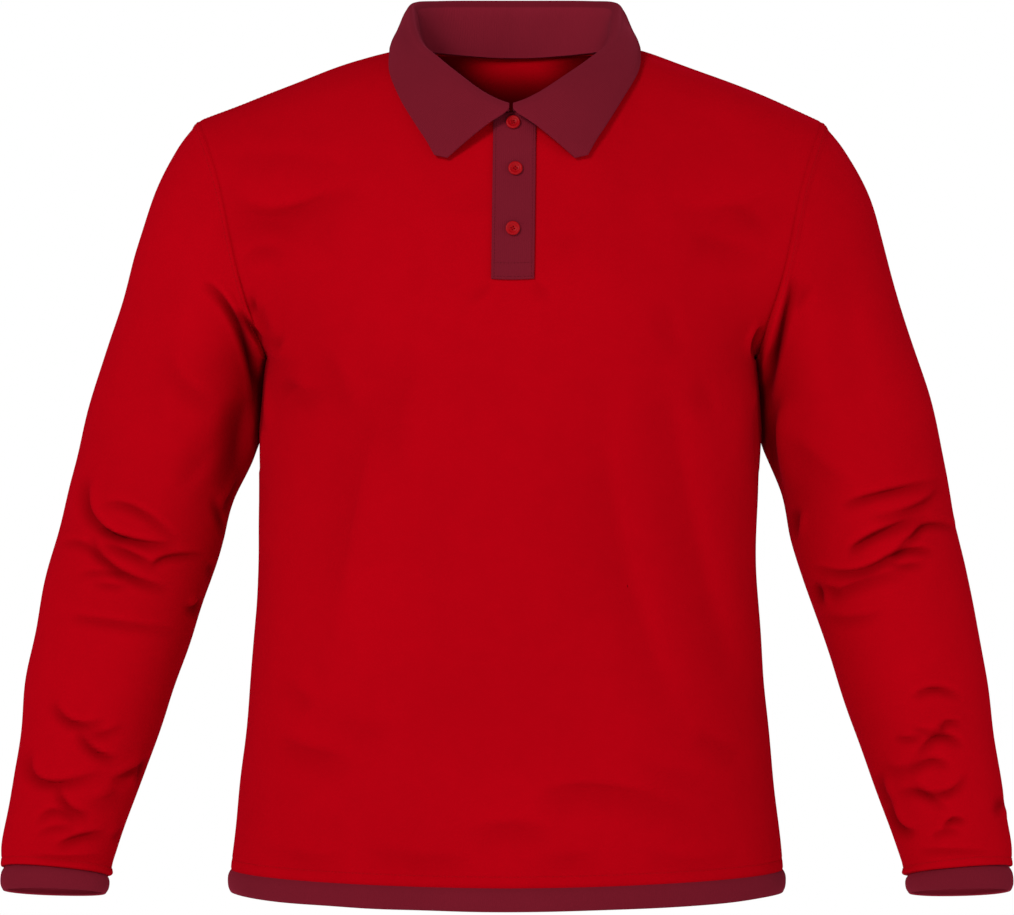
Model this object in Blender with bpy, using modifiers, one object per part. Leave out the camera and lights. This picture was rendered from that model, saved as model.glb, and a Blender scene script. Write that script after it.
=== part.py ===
"""A long-sleeved golf shirt, filled out as it is when worn, with nobody in it.

Metres, +Z up.  The wearer faces -Y, so +X is the wearer's left.  The origin lies between the
two neck points, where the shoulder seams meet the collar.
"""

import math
from collections import namedtuple

import bmesh
import bpy
import numpy as np
from mathutils import Vector

# Cloth and seams
CLOTH = 0.0015              # body and sleeve wall
RIBBED = 0.0020             # collar, placket, cuff and hem band wall
SEAM_GAP = 0.0003           # between two pieces that are sewn together

# Body
HEM_SEAM = -0.6812          # where the body meets the hem band
LAST_FLAT_SECTION = -0.268  # top of the part that is made of plain sections
UNDERARM = -0.2588
SECTION_POWER = 2.3         # 2 is an ellipse, more is squarer
HEM_SECTION_POWER = 1.75
ROUNDER_FROM = -0.50        # below this the sections turn gradually into the hem's own
UNDERARM_HALF_WIDTH = 0.199
UNDERARM_FRONT = 0.129      # depth of the front and back at the underarm
UNDERARM_BACK = 0.117

# Shoulder and neck
NECK_HALF_WIDTH = 0.084
NECK_Y = -0.012             # the shoulder seams lie forward of the ridge
NECK_POINT_DROP = 0.003
NECK_FRONT_REACH = 0.086
NECK_BACK_REACH = 0.084
NECK_FRONT_DROP = 0.061
NECK_BACK_RISE = 0.006
NECK_COLUMN_BOW = 0.014      # how far the columns beside the neck swing out below it
SHOULDER_HALF_WIDTH = 0.2575
SHOULDER_SLOPE_POWER = 1.28

# Armhole, an oval seen from the side, its angle measured from the top towards the front
ARMHOLE_MIDDLE = -0.160
ARMHOLE_HALF_HEIGHT = 0.0988
ARMHOLE_FRONT = 0.070
ARMHOLE_BACK = ARMHOLE_FRONT * UNDERARM_BACK / UNDERARM_FRONT
SHOULDER_POINT_ANGLE = 8.0

# How finely the cloth is divided
LOWER_ROWS = 14
FRONT_UPPER_ROWS = 11
BACK_UPPER_ROWS = 12
SHOULDER_COLUMNS = 8
FRONT_NECK_ANGLES = [0, 20, 40, 57, 70, 81, 90]
BACK_NECK_ANGLES = [0, 18, 36, 54, 72, 90]
SLEEVE_RINGS = 30

# Placket and buttons
PLACKET_HALF_WIDTH = 0.017
PLACKET_BOTTOM = -0.199
PLACKET_SHIFT_BELOW = 0.0012    # the placket leans, its middle this far to +X at its bottom
PLACKET_SHIFT_ABOVE = 0.0030    # and this far at its top
SLIT_BOTTOM = -0.190
BUTTON_RADIUS = 0.0057
BUTTON_PLACES = [(-0.0012, -0.0722), (0.0010, -0.1100), (-0.0004, -0.1582)]

# Sideways hang: how far, the height where it starts, and the run over which it grows
WAIST_HANG = (-0.0033, -0.28, 0.17)
NECK_HANG = (0.0033, -0.06, 0.055)

# The maker's eye looks from this far, level with this height
VIEW_DISTANCE = 2.8
VIEW_HEIGHT = -0.3399

RED = (0.456, 0.0008, 0.0055)
MAROON = (0.165, 0.0098, 0.0205)

Torso = namedtuple("Torso", "height half_width front back")
TORSO = [
    Torso(-0.6812, 0.2295, 0.1280, 0.1220),
    Torso(-0.6242, 0.2230, 0.1260, 0.1180),
    Torso(-0.5578, 0.2160, 0.1240, 0.1100),
    Torso(-0.4914, 0.2096, 0.1210, 0.1020),
    Torso(-0.4250, 0.2063, 0.1200, 0.0990),
    Torso(-0.3586, 0.2066, 0.1230, 0.1040),
    Torso(-0.3250, 0.2075, 0.1255, 0.1090),
    Torso(-0.2922, 0.2050, 0.1280, 0.1130),
    Torso(-0.2680, 0.2035, 0.1290, 0.1170),
]

ArmholeWidth = namedtuple("ArmholeWidth", "height half_width")
ARMHOLE_WIDTH = [
    ArmholeWidth(-0.2588, 0.2015),
    ArmholeWidth(-0.2400, 0.2065),
    ArmholeWidth(-0.2140, 0.2145),
    ArmholeWidth(-0.1670, 0.2262),
    ArmholeWidth(-0.1100, 0.2390),
    ArmholeWidth(-0.0850, 0.2475),
    ArmholeWidth(-0.0612, 0.2575),
]

# Rings of the sleeve from armhole to cuff: the point on its outer side, the one on its inner
# side, its middle in depth, its half depths, and how far its front edge is tipped up.
Ring = namedtuple("Ring", "outer_x outer_z inner_x inner_z middle_y front back tip")
SLEEVE = [
    Ring(0.2575, -0.0612, 0.2015, -0.2588, 0.000, 0.070, 0.068, 0),
    Ring(0.2764, -0.0847, 0.2036, -0.2640, 0.000, 0.067, 0.066, 0),
    Ring(0.2947, -0.1195, 0.2044, -0.2695, 0.001, 0.065, 0.065, 0),
    Ring(0.3087, -0.1635, 0.2050, -0.2775, 0.002, 0.063, 0.064, 0),
    Ring(0.3220, -0.2092, 0.2056, -0.2880, 0.003, 0.062, 0.063, 0),
    Ring(0.3464, -0.2855, 0.2084, -0.3270, 0.004, 0.060, 0.062, 0),
    Ring(0.3612, -0.3461, 0.2277, -0.3727, 0.003, 0.058, 0.060, 1),
    Ring(0.3698, -0.3918, 0.2362, -0.4092, 0.000, 0.056, 0.059, 3),
    Ring(0.3797, -0.4314, 0.2449, -0.4397, -0.005, 0.054, 0.056, 6),
    Ring(0.3873, -0.4741, 0.2575, -0.4770, -0.014, 0.051, 0.052, 9),
    Ring(0.3947, -0.5228, 0.2728, -0.5260, -0.026, 0.047, 0.047, 11),
    Ring(0.3987, -0.5712, 0.2890, -0.5745, -0.038, 0.042, 0.042, 13),
    Ring(0.4045, -0.6192, 0.3055, -0.6225, -0.049, 0.036, 0.036, 14),
    Ring(0.4100, -0.6510, 0.3170, -0.6570, -0.057, 0.031, 0.031, 14),
    Ring(0.4104, -0.6650, 0.3212, -0.6705, -0.060, 0.030, 0.030, 14),
    Ring(0.4078, -0.6720, 0.3250, -0.6790, -0.061, 0.027, 0.027, 14),
]
CUFF = [
    Ring(0.4078, -0.6720, 0.3250, -0.6790, -0.0610, 0.0270, 0.0270, 14),
    Ring(0.4104, -0.6780, 0.3232, -0.6835, -0.0625, 0.0285, 0.0285, 14),
    Ring(0.4106, -0.6860, 0.3236, -0.6890, -0.0640, 0.0285, 0.0285, 14),
    Ring(0.4082, -0.6915, 0.3262, -0.6935, -0.0650, 0.0265, 0.0265, 14),
]
ARMHOLE_FADES_BY = 4.0      # rings over which the sleeve loses the armhole's own outline

HemRow = namedtuple("HemRow", "height bulge")
HEM = [
    HemRow(-0.6812, 0.0),
    HemRow(-0.6870, 0.0022),
    HemRow(-0.6950, 0.0022),
    HemRow(-0.7005, 0.0002),
]

# The collar, from the front middle (place 0) past the neck point (6) to the back (11), in
# millimetres: the top of its roll and the free edge of its fall.
Collar = namedtuple("Collar", "place fold_x fold_y fold_z edge_x edge_y edge_z")
COLLAR = [
    Collar(0.0, 1.8, -105.5, -58.5, 50.8, -108.5, -101.0),
    Collar(0.5, 8.0, -104.5, -56.5, 61.1, -106.5, -98.5),
    Collar(1.5, 22.0, -100.5, -49.5, 67.0, -102.0, -87.5),
    Collar(2.9, 44.0, -90.5, -33.5, 77.0, -93.0, -71.5),
    Collar(4.0, 62.5, -73.0, -18.0, 89.5, -77.0, -50.0),
    Collar(4.9, 76.5, -51.0, -4.0, 100.5, -51.5, -26.0),
    Collar(5.75, 83.0, -28.0, 11.5, 102.0, -25.0, -6.5),
    Collar(6.8, 85.5, 0.0, 26.5, 100.5, 5.0, 0.0),
    Collar(8.0, 85.0, 34.0, 40.0, 94.0, 41.0, -3.0),
    Collar(9.3, 63.0, 66.0, 46.0, 66.0, 71.0, -12.0),
    Collar(11.0, 0.0, 79.0, 48.0, 0.0, 85.0, -15.0),
]
COLLAR_PLACES = [0.5 * step for step in range(17)] + [9, 10, 11]
ROLL_RADIUS = 0.0035
FALL_CROWN = 0.0025

# The largest folds, in millimetres, as seen from the maker's eye: three points of the path, the
# width from its bottom to its side, and the depth, which is negative in a trough.
Fold = namedtuple("Fold", "start middle end width depth")
FRONT_FOLDS = [
    Fold((-113, -266), (-134, -375), (-167, -540), 17, -4.0),
    Fold((-84, -250), (-92, -310), (-97, -360), 15, -3.0),
    Fold((-196, -271), (-170, -286), (-158, -277), 13, -3.5),
    Fold((-158, -251), (-150, -280), (-138, -308), 13, 2.5),
    Fold((120, -250), (157, -425), (186, -541), 17, -4.0),
    Fold((74, -267), (107, -500), (149, -575), 17, -3.5),
    Fold((149, -263), (159, -285), (170, -301), 12, -4.0),
    Fold((28, -624), (80, -617), (157, -637), 14, -3.5),
    Fold((-196, -575), (-168, -585), (-138, -591), 14, -3.0),
    Fold((-34, -653), (0, -647), (32, -653), 13, -2.5),
    Fold((-235, -98), (-190, -104), (-125, -102), 16, -2.5),
    Fold((-236, -135), (-190, -131), (-134, -129), 15, 2.5),
    Fold((149, -160), (180, -166), (210, -172), 14, -2.5),
    Fold((-351, -367), (-320, -404), (-281, -413), 12, -5.0),
    Fold((-346, -408), (-310, -435), (-244, -419), 12, -5.0),
    Fold((-390, -520), (-365, -552), (-327, -559), 14, -4.5),
    Fold((-402, -583), (-372, -604), (-341, -600), 13, -4.0),
    Fold((-395, -642), (-378, -636), (-358, -644), 11, -3.0),
    Fold((278, -379), (310, -367), (358, -362), 12, -4.5),
    Fold((287, -415), (326, -398), (341, -390), 12, -5.0),
    Fold((248, -431), (305, -420), (341, -394), 12, -4.5),
    Fold((265, -459), (300, -440), (333, -435), 12, -3.5),
    Fold((321, -554), (350, -563), (380, -540), 13, -4.5),
    Fold((331, -612), (353, -615), (380, -598), 13, -4.0),
    Fold((310, -622), (320, -642), (331, -649), 11, -4.0),
]
BACK_FOLDS = [
    Fold((-150, -120), (-60, -150), (40, -140), 20, -3.0),
    Fold((150, -130), (110, -210), (30, -260), 20, -3.5),
    Fold((-170, -250), (-110, -330), (-60, -350), 18, -4.0),
    Fold((-160, -430), (-60, -455), (70, -440), 18, -4.5),
    Fold((-60, -500), (50, -515), (165, -480), 18, -4.0),
    Fold((-130, -570), (-80, -600), (-10, -610), 17, -3.0),
    Fold((90, -580), (110, -620), (150, -650), 15, -3.0),
    Fold((278, -385), (310, -402), (352, -380), 13, -4.5),
    Fold((258, -425), (300, -445), (372, -430), 13, -4.5),
    Fold((290, -540), (330, -560), (385, -548), 13, -4.0),
    Fold((316, -600), (350, -615), (392, -606), 12, -3.5),
    Fold((-278, -390), (-315, -405), (-356, -378), 13, -4.5),
    Fold((-256, -430), (-305, -440), (-372, -425), 13, -4.5),
    Fold((-286, -530), (-330, -556), (-388, -545), 13, -4.0),
    Fold((-318, -606), (-352, -612), (-392, -600), 12, -3.5),
]


def smooth(value):
    """0 below 0, 1 above 1, and an even S between."""
    value = np.clip(value, 0.0, 1.0)
    return value * value * (3.0 - 2.0 * value)


def curve_through(rows, keys, at):
    """The values of a table's rows at other keys, on a smooth curve through all the rows."""
    rows = np.array(rows, dtype=float)
    keys = np.array(keys, dtype=float)
    at = np.clip(np.atleast_1d(np.array(at, dtype=float)), keys[0], keys[-1])
    slopes = np.gradient(rows, keys, axis=0)
    left = np.clip(np.searchsorted(keys, at, side="right") - 1, 0, len(keys) - 2)
    span = (keys[left + 1] - keys[left])[:, None]
    part = (at - keys[left])[:, None] / span
    start = (1 + 2 * part) * (1 - part) ** 2 * rows[left]
    leaving = part * (1 - part) ** 2 * span * slopes[left]
    end = part ** 2 * (3 - 2 * part) * rows[left + 1]
    arriving = part ** 2 * (part - 1) * span * slopes[left + 1]
    return start + leaving + end + arriving


def sway(points):
    """The shirt hangs a little to the wearer's right below the waist, to the left at the neck."""
    height = points[..., 2]
    waist_shift, waist_height, waist_run = WAIST_HANG
    neck_shift, neck_height, neck_run = NECK_HANG
    shift = (waist_shift * smooth((waist_height - height) / waist_run)
             + neck_shift * smooth((height - neck_height) / neck_run))
    moved = points.copy()
    moved[..., 0] += shift
    return moved


def armhole(angle):
    """Points of the armhole on the +X side, by angle in degrees from the top to the front."""
    turn = np.radians(np.atleast_1d(np.array(angle, dtype=float)))
    height = ARMHOLE_MIDDLE + ARMHOLE_HALF_HEIGHT * np.cos(turn)
    reach = np.where(np.sin(turn) > 0, ARMHOLE_FRONT, ARMHOLE_BACK)
    depth = -reach * np.sin(turn)
    rows = [[row.half_width] for row in ARMHOLE_WIDTH]
    width = curve_through(rows, [row.height for row in ARMHOLE_WIDTH], height)[:, 0]
    return np.stack([width, depth, height], axis=1)


def top_x(across):
    """Half width along the top edge, from the share of the way across."""
    spread = SHOULDER_HALF_WIDTH - UNDERARM_HALF_WIDTH
    return UNDERARM_HALF_WIDTH * across + spread * across ** 3


def share_across(x):
    """The share of the way across whose top edge has this half width."""
    shares = np.linspace(0.0, 1.0, 2001)
    return np.interp(x, top_x(shares), shares)


def section(turn, power=SECTION_POWER):
    """Share across and share of depth of a body section, by angle from side to middle."""
    turn = np.clip(turn, 0.0, math.pi / 2)
    return np.cos(turn) ** (2 / power), np.sin(turn) ** (2 / power)


def turn_at_depth(depth_share):
    """The section's angle where it is this share of its depth in the middle."""
    return np.arcsin(np.clip(depth_share, 0.0, 1.0) ** (SECTION_POWER / 2))


def half_columns(neck_angles):
    """Section angles of the columns from the middle to the side, the neck's columns first.

    Beside the armhole the section starts at the armhole's own depth, so the columns close up
    towards the middle there, and the neck's columns are set by where they reach the neckline.
    """
    armhole_turn = turn_at_depth(ARMHOLE_FRONT / UNDERARM_FRONT)
    armhole_share = section(armhole_turn)[0]
    across = share_across(NECK_HALF_WIDTH * np.cos(np.radians(neck_angles[::-1])))
    upper = np.arccos((across * armhole_share) ** (SECTION_POWER / 2))
    neck = math.pi / 2 * (upper - armhole_turn) / (math.pi / 2 - armhole_turn)
    return np.concatenate([neck, np.linspace(neck[-1], 0.0, SHOULDER_COLUMNS + 1)[1:]])


def top_edge(share, front):
    """Depth and height of the top edge: the neckline, then the shoulder seam."""
    x = top_x(share)
    turn = np.arccos(np.clip(x / NECK_HALF_WIDTH, 0.0, 1.0))
    reach = -NECK_FRONT_REACH if front else NECK_BACK_REACH
    neck_y = NECK_Y + reach * np.sin(turn)
    if front:
        neck_z = -NECK_POINT_DROP - NECK_FRONT_DROP * np.sin(turn) ** 1.7
    else:
        neck_z = -NECK_POINT_DROP + NECK_BACK_RISE * np.sin(turn)
    shoulder = armhole(SHOULDER_POINT_ANGLE)[0]
    out = np.clip((x - NECK_HALF_WIDTH) / (SHOULDER_HALF_WIDTH - NECK_HALF_WIDTH), 0.0, 1.0)
    seam_y = NECK_Y + (shoulder[1] - NECK_Y) * out
    drop = shoulder[2] + NECK_POINT_DROP
    seam_z = -NECK_POINT_DROP + drop * out ** SHOULDER_SLOPE_POWER
    on_neck = x < NECK_HALF_WIDTH
    return np.where(on_neck, neck_y, seam_y), np.where(on_neck, neck_z, seam_z), turn


def lower_part(turns, signs, front):
    """Rows of a body panel from the hem seam to just below the underarm."""
    heights = np.linspace(HEM_SEAM, LAST_FLAT_SECTION, LOWER_ROWS + 1)
    rows = [[row.half_width, row.front, row.back] for row in TORSO]
    sizes = curve_through(rows, [row.height for row in TORSO], heights)
    depth = -sizes[:, 1] if front else sizes[:, 2]
    rounder = smooth((ROUNDER_FROM - heights) / (ROUNDER_FROM - HEM_SEAM))
    power = SECTION_POWER + (HEM_SECTION_POWER - SECTION_POWER) * rounder
    across, deep = section(turns[None, :], power[:, None])
    x = sizes[:, 0, None] * across * signs
    y = depth[:, None] * deep
    z = np.repeat(heights[:, None], len(turns), axis=1)
    return np.stack([x, y, z], axis=2)


def upper_part(turns, signs, front):
    """Rows from the underarm to the neckline and the shoulder seam.

    A column near the middle follows an arch, and the last one follows the armhole.
    """
    rows = FRONT_UPPER_ROWS if front else BACK_UPPER_ROWS
    rise = np.linspace(0.0, 1.0, rows + 1)[:, None]
    if front:
        angles = 180.0 - (180.0 - SHOULDER_POINT_ANGLE) * rise[:, 0]
    else:
        angles = -180.0 + (180.0 + SHOULDER_POINT_ANGLE) * rise[:, 0]
    edge = armhole(angles)
    edge_rise = ((edge[:, 2] - edge[0, 2]) / (edge[-1, 2] - edge[0, 2]))[:, None]
    base_depth = -UNDERARM_FRONT if front else UNDERARM_BACK
    from_underarm = np.radians(np.minimum(180.0 - np.abs(angles), 90.0))
    edge_turn = turn_at_depth(ARMHOLE_FRONT / UNDERARM_FRONT * np.sin(from_underarm))[:, None]
    edge_turn = np.maximum.accumulate(edge_turn)
    turn = edge_turn + (math.pi / 2 - edge_turn) * turns[None, :] / (math.pi / 2)
    across, deep = section(turn)
    across = across / section(edge_turn)[0]
    near_edge = across ** 4
    x = UNDERARM_HALF_WIDTH * across + (edge[:, 0, None] - UNDERARM_HALF_WIDTH) * across ** 3
    beside_neck = np.exp(-((top_x(across[-1:]) - NECK_HALF_WIDTH) / 0.035) ** 2)
    x = x + NECK_COLUMN_BOW * beside_neck * np.sin(math.pi * rise ** 2)

    top_y, top_z, neck_turn = top_edge(across[-1:], front)
    middle_arch, shoulder_arch = (50.0, 80.0) if front else (62.0, 100.0)
    arch = np.radians(shoulder_arch + (middle_arch - shoulder_arch) * np.sin(neck_turn))
    climb = np.sin(rise * arch) / np.sin(arch)
    inward = (1 - np.cos(rise * arch)) / (1 - np.cos(arch))
    z = UNDERARM + (top_z - UNDERARM) * (climb + (edge_rise - climb) * near_edge)
    y = base_depth * deep
    y = y + (top_y - y) * inward
    y = y + (edge[:, 1, None] - y[:, [int(np.argmin(turns))]]) * near_edge
    return np.stack([x * signs, y, z], axis=2)


def body_panel(front):
    """The front or back panel, rows from hem to top, columns from -X to +X."""
    half = half_columns(FRONT_NECK_ANGLES if front else BACK_NECK_ANGLES)
    turns = np.concatenate([half[:0:-1], half])
    signs = np.concatenate([-np.ones(len(half) - 1), np.ones(len(half))])
    return np.concatenate([lower_part(turns, signs, front), upper_part(turns, signs, front)])


def ring_points(rings, at, angles, side):
    """Rings of a sleeve or cuff, one row each, at places counted in rows of the table."""
    sizes = curve_through(rings, range(len(rings)), at)
    outer = sizes[:, [0, 1]]
    inner = sizes[:, [2, 3]]
    turn = np.radians(angles)[None, :]
    middle = (outer + inner) / 2
    reach = (outer - inner) / 2
    depth = np.where(np.sin(turn) > 0, sizes[:, 5, None], sizes[:, 6, None]) * np.sin(turn)
    tip = np.radians(sizes[:, 7])[:, None]
    x = middle[:, 0, None] + reach[:, 0, None] * np.cos(turn)
    z = middle[:, 1, None] + reach[:, 1, None] * np.cos(turn) + depth * np.sin(tip)
    y = sizes[:, 4, None] - depth * np.cos(tip)
    return np.stack([side * x, y, z], axis=2)


def sleeve_angles():
    """Angles round the armhole at which the body's rows reach it."""
    front = np.linspace(180.0, SHOULDER_POINT_ANGLE, FRONT_UPPER_ROWS + 1)
    back = np.linspace(SHOULDER_POINT_ANGLE, -180.0, BACK_UPPER_ROWS + 1)
    return np.concatenate([front, back[1:-1]])


def sleeve(side):
    """One sleeve from armhole to cuff, its rings closed on themselves."""
    angles = sleeve_angles()
    at = np.linspace(0.0, len(SLEEVE) - 1.0, SLEEVE_RINGS + 1)
    points = ring_points(SLEEVE, at, angles, side)
    loop = armhole(angles) * (side, 1.0, 1.0)
    fade = (1.0 - smooth(at / ARMHOLE_FADES_BY))[:, None, None]
    return points + fade * (loop - points[0])[None, :, :]


def hem_band(front_panel, back_panel):
    """The ring of ribbing below the body, in line with the body's columns."""
    loop = np.concatenate([front_panel[0], back_panel[0, -2:0:-1]])
    outward = loop * (1.0, 1.0, 0.0)
    outward = outward / np.linalg.norm(outward, axis=1, keepdims=True)
    rows = []
    for row in HEM:
        points = loop + outward * row.bulge
        points[:, 2] = row.height
        rows.append(points)
    return np.array(rows)


def neckline(front_panel, back_panel):
    """Half of the neckline, from the front middle past the neck point to the back middle."""
    front_cells = len(FRONT_NECK_ANGLES) - 1
    back_cells = len(BACK_NECK_ANGLES) - 1
    front_middle = front_panel.shape[1] // 2
    back_middle = back_panel.shape[1] // 2
    front_part = front_panel[-1, front_middle:front_middle + front_cells + 1]
    back_part = back_panel[-1, back_middle:back_middle + back_cells][::-1]
    return np.concatenate([front_part, back_part])


def collar_sections(front_panel, back_panel):
    """The collar's sections on the +X side, each from the neck seam over the roll to the edge."""
    edge_points = neckline(front_panel, back_panel)
    places = np.array(COLLAR_PLACES, dtype=float)
    seam = np.stack([np.interp(places, range(len(edge_points)), edge_points[:, axis])
                     for axis in range(3)], axis=1)
    seam[:, 0] = np.maximum(seam[:, 0], 0.0015 * (places < 1))
    turns = [-angle for angle in FRONT_NECK_ANGLES[::-1]] + BACK_NECK_ANGLES[1:]
    turn = np.radians(np.interp(places, range(len(turns)), turns))
    outward = np.stack([np.cos(turn), np.sin(turn), np.zeros(len(turn))], axis=1)
    up = np.array([0.0, 0.0, 1.0])
    keys = [row.place for row in COLLAR]
    table = np.array(COLLAR)[:, 1:] / 1000.0
    fold = curve_through(table[:, :3], keys, places)
    edge = np.stack([np.interp(places, keys, table[:, 3 + axis]) for axis in range(3)], axis=1)
    stand_foot = seam - (RIBBED + SEAM_GAP) * outward + SEAM_GAP * up
    roll_in = fold - ROLL_RADIUS * (outward + up)
    roll_out = fold + ROLL_RADIUS * (outward - up)
    rows = [stand_foot, (stand_foot + roll_in) / 2, roll_in, fold, roll_out]
    for share in (1 / 3, 2 / 3, 1.0):
        crown = FALL_CROWN * math.sin(math.pi * share) * (outward + 0.5 * up)
        rows.append(roll_out + (edge - roll_out) * share + crown)
    return np.array(rows)


def collar(front_panel, back_panel):
    """The whole collar, rows from the neck seam to the free edge, columns right round."""
    half = collar_sections(front_panel, back_panel)
    mirrored = half[:, -2::-1] * (-1.0, 1.0, 1.0)
    return np.concatenate([half, mirrored], axis=1)


def on_front(front_panel, normals, xs, heights):
    """Points of the front panel at these distances from the placket's middle, and normals."""
    middle = front_panel.shape[1] // 2
    tall = front_panel[:, middle, 2]
    rows = np.interp(heights, tall, np.arange(len(tall)))
    lean = np.interp(heights, [heights[0], heights[-1]],
                     [PLACKET_SHIFT_BELOW, PLACKET_SHIFT_ABOVE])
    found, facing = [], []
    for row, shift in zip(rows, lean):
        low = min(int(row), len(tall) - 2)
        part = row - low
        line = front_panel[low] * (1 - part) + front_panel[low + 1] * part
        line_normals = normals[low] * (1 - part) + normals[low + 1] * part
        offset = line[:, 0] - line[middle, 0] - shift
        found.append([[np.interp(x, offset, line[:, axis]) for axis in range(3)] for x in xs])
        facing.append([[np.interp(x, offset, line_normals[:, axis]) for axis in range(3)]
                       for x in xs])
    facing = np.array(facing)
    return np.array(found), facing / np.linalg.norm(facing, axis=2, keepdims=True)


def strip_heights(front_panel, top, bottom):
    """The panel's own row heights between two limits, with the limits, from the bottom."""
    middle = front_panel.shape[1] // 2
    own = [height for height in front_panel[:, middle, 2]
           if bottom + 0.003 < height < top - 0.003]
    return [bottom] + own + [top]


def fold_offset(seen, folds):
    """How far each seen point moves out for all the folds, in metres."""
    moved = np.zeros(len(seen))
    for fold in folds:
        start, middle, end = (np.array(point) for point in (fold.start, fold.middle, fold.end))
        share = np.linspace(0.0, 1.0, 25)[:, None]
        pull = 2 * middle - (start + end) / 2
        path = (1 - share) ** 2 * start + 2 * share * (1 - share) * pull + share ** 2 * end
        gaps = np.linalg.norm(seen[:, None, :] - path[None, :, :], axis=2)
        nearest = gaps.argmin(axis=1)
        taper = np.sin(math.pi * (0.06 + 0.88 * share[nearest, 0]))
        moved += fold.depth * taper * np.exp(-(gaps.min(axis=1) / fold.width) ** 2)
    return moved / 1000.0


def folded(points, normals):
    """The cloth with its folds, which front and back show to an eye on that side."""
    flat = points.reshape(-1, 3)
    facing = normals.reshape(-1, 3)[:, 1]
    moved = np.zeros(len(flat))
    for folds, toward in ((FRONT_FOLDS, -1.0), (BACK_FOLDS, 1.0)):
        scale = VIEW_DISTANCE / (VIEW_DISTANCE - toward * flat[:, 1])
        seen_x = flat[:, 0] * scale
        seen_z = VIEW_HEIGHT + (flat[:, 2] - VIEW_HEIGHT) * scale
        seen = np.stack([seen_x, seen_z], axis=1) * 1000.0
        moved += fold_offset(seen, folds) * smooth((toward * facing - 0.05) / 0.35)
    return points + normals * moved.reshape(points.shape[:2])[:, :, None]


def corner_normals(points, closed, outward):
    """The sum at each point of its faces' normals, each weighted by the corner's angle."""
    sums = np.zeros_like(points)
    rows, columns = points.shape[:2]
    first = np.arange(columns if closed else columns - 1)
    second = (first + 1) % columns
    low, high = slice(0, rows - 1), slice(1, rows)
    corners = [(low, first), (low, second), (high, second), (high, first)]
    for index, corner in enumerate(corners):
        here = points[corner[0]][:, corner[1]]
        ahead_place = corners[(index + 1) % 4]
        behind_place = corners[index - 1]
        ahead = points[ahead_place[0]][:, ahead_place[1]] - here
        behind = points[behind_place[0]][:, behind_place[1]] - here
        cross = np.cross(ahead, behind)
        length = np.linalg.norm(cross, axis=2, keepdims=True)
        angle = np.arctan2(length, np.sum(ahead * behind, axis=2, keepdims=True))
        share = cross / np.maximum(length, 1e-12) * angle
        target = sums[corner[0]]
        np.add.at(target, (slice(None), corner[1]), share)
    return sums * outward


def shared_normals(pieces):
    """Unit normals of every piece, equal where pieces meet at a seam."""
    totals = {}
    sums = {}
    for name, piece in pieces.items():
        sums[name] = corner_normals(piece["points"], piece["closed"], piece["outward"])
        keys = np.round(piece["points"].reshape(-1, 3) * 1e5).astype(int)
        piece["keys"] = [tuple(key) for key in keys]
        for key, vector in zip(piece["keys"], sums[name].reshape(-1, 3)):
            totals[key] = totals.get(key, 0.0) + vector
    for piece in pieces.values():
        vectors = np.array([totals[key] for key in piece["keys"]])
        vectors = vectors / np.linalg.norm(vectors, axis=1, keepdims=True)
        piece["normals"] = vectors.reshape(piece["points"].shape)


def edge_shift(points, normals, closed, edge):
    """A seam edge's step back into its own piece, square to the seam and to its normal."""
    if edge in ("bottom", "top"):
        row = 0 if edge == "bottom" else -1
        line, facing = points[row], normals[row]
        inside = points[1 if edge == "bottom" else -2]
    else:
        column = 0 if edge == "first" else -1
        line, facing = points[:, column], normals[:, column]
        inside = points[:, 1 if edge == "first" else -2]
    if closed:
        along = np.roll(line, -1, axis=0) - np.roll(line, 1, axis=0)
    else:
        along = np.gradient(line, axis=0)
    square = np.cross(facing, along)
    square = square / np.linalg.norm(square, axis=1, keepdims=True)
    toward = np.sign(np.sum(square * (inside - line), axis=1, keepdims=True))
    return square * toward * SEAM_GAP / 2


def pulled_back(piece):
    """A piece's points with each of its seam edges moved back by half the seam gap."""
    points, normals, closed = piece["points"], piece["normals"], piece["closed"]
    moved = points.copy()
    for edge in piece["seams"]:
        shift = edge_shift(points, normals, closed, edge)
        if edge == "bottom":
            moved[0] += shift
        elif edge == "top":
            moved[-1] += shift
        elif edge == "first":
            moved[:, 0] += shift
        else:
            moved[:, -1] += shift
    return moved


def split(places, corners):
    """Two triangles of a quad, divided along its shorter diagonal."""
    a, b, c, d = corners
    if np.linalg.norm(places[a] - places[c]) < np.linalg.norm(places[b] - places[d]):
        return [(a, b, c), (a, c, d)]
    return [(a, b, d), (b, c, d)]


def wall_faces(places, shape, closed, keep):
    """Faces of a wall's two sides, split along the same diagonals, and of its open edges."""
    rows, columns = shape
    layer = rows * columns
    faces = []
    for row in range(rows - 1):
        for column in range(columns if closed else columns - 1):
            if keep is not None and not keep[row][column]:
                continue
            after = (column + 1) % columns
            low, high = row * columns, (row + 1) * columns
            faces += split(places, (low + column, low + after, high + after, high + column))
    edges = {(face[i], face[(i + 1) % 3]) for face in faces for i in range(3)}
    inner = [tuple(corner + layer for corner in reversed(face)) for face in faces]
    for a, b in sorted(edges):
        if (b, a) not in edges:
            faces += split(places, (b, a, a + layer, b + layer))
    return faces + inner


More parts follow.
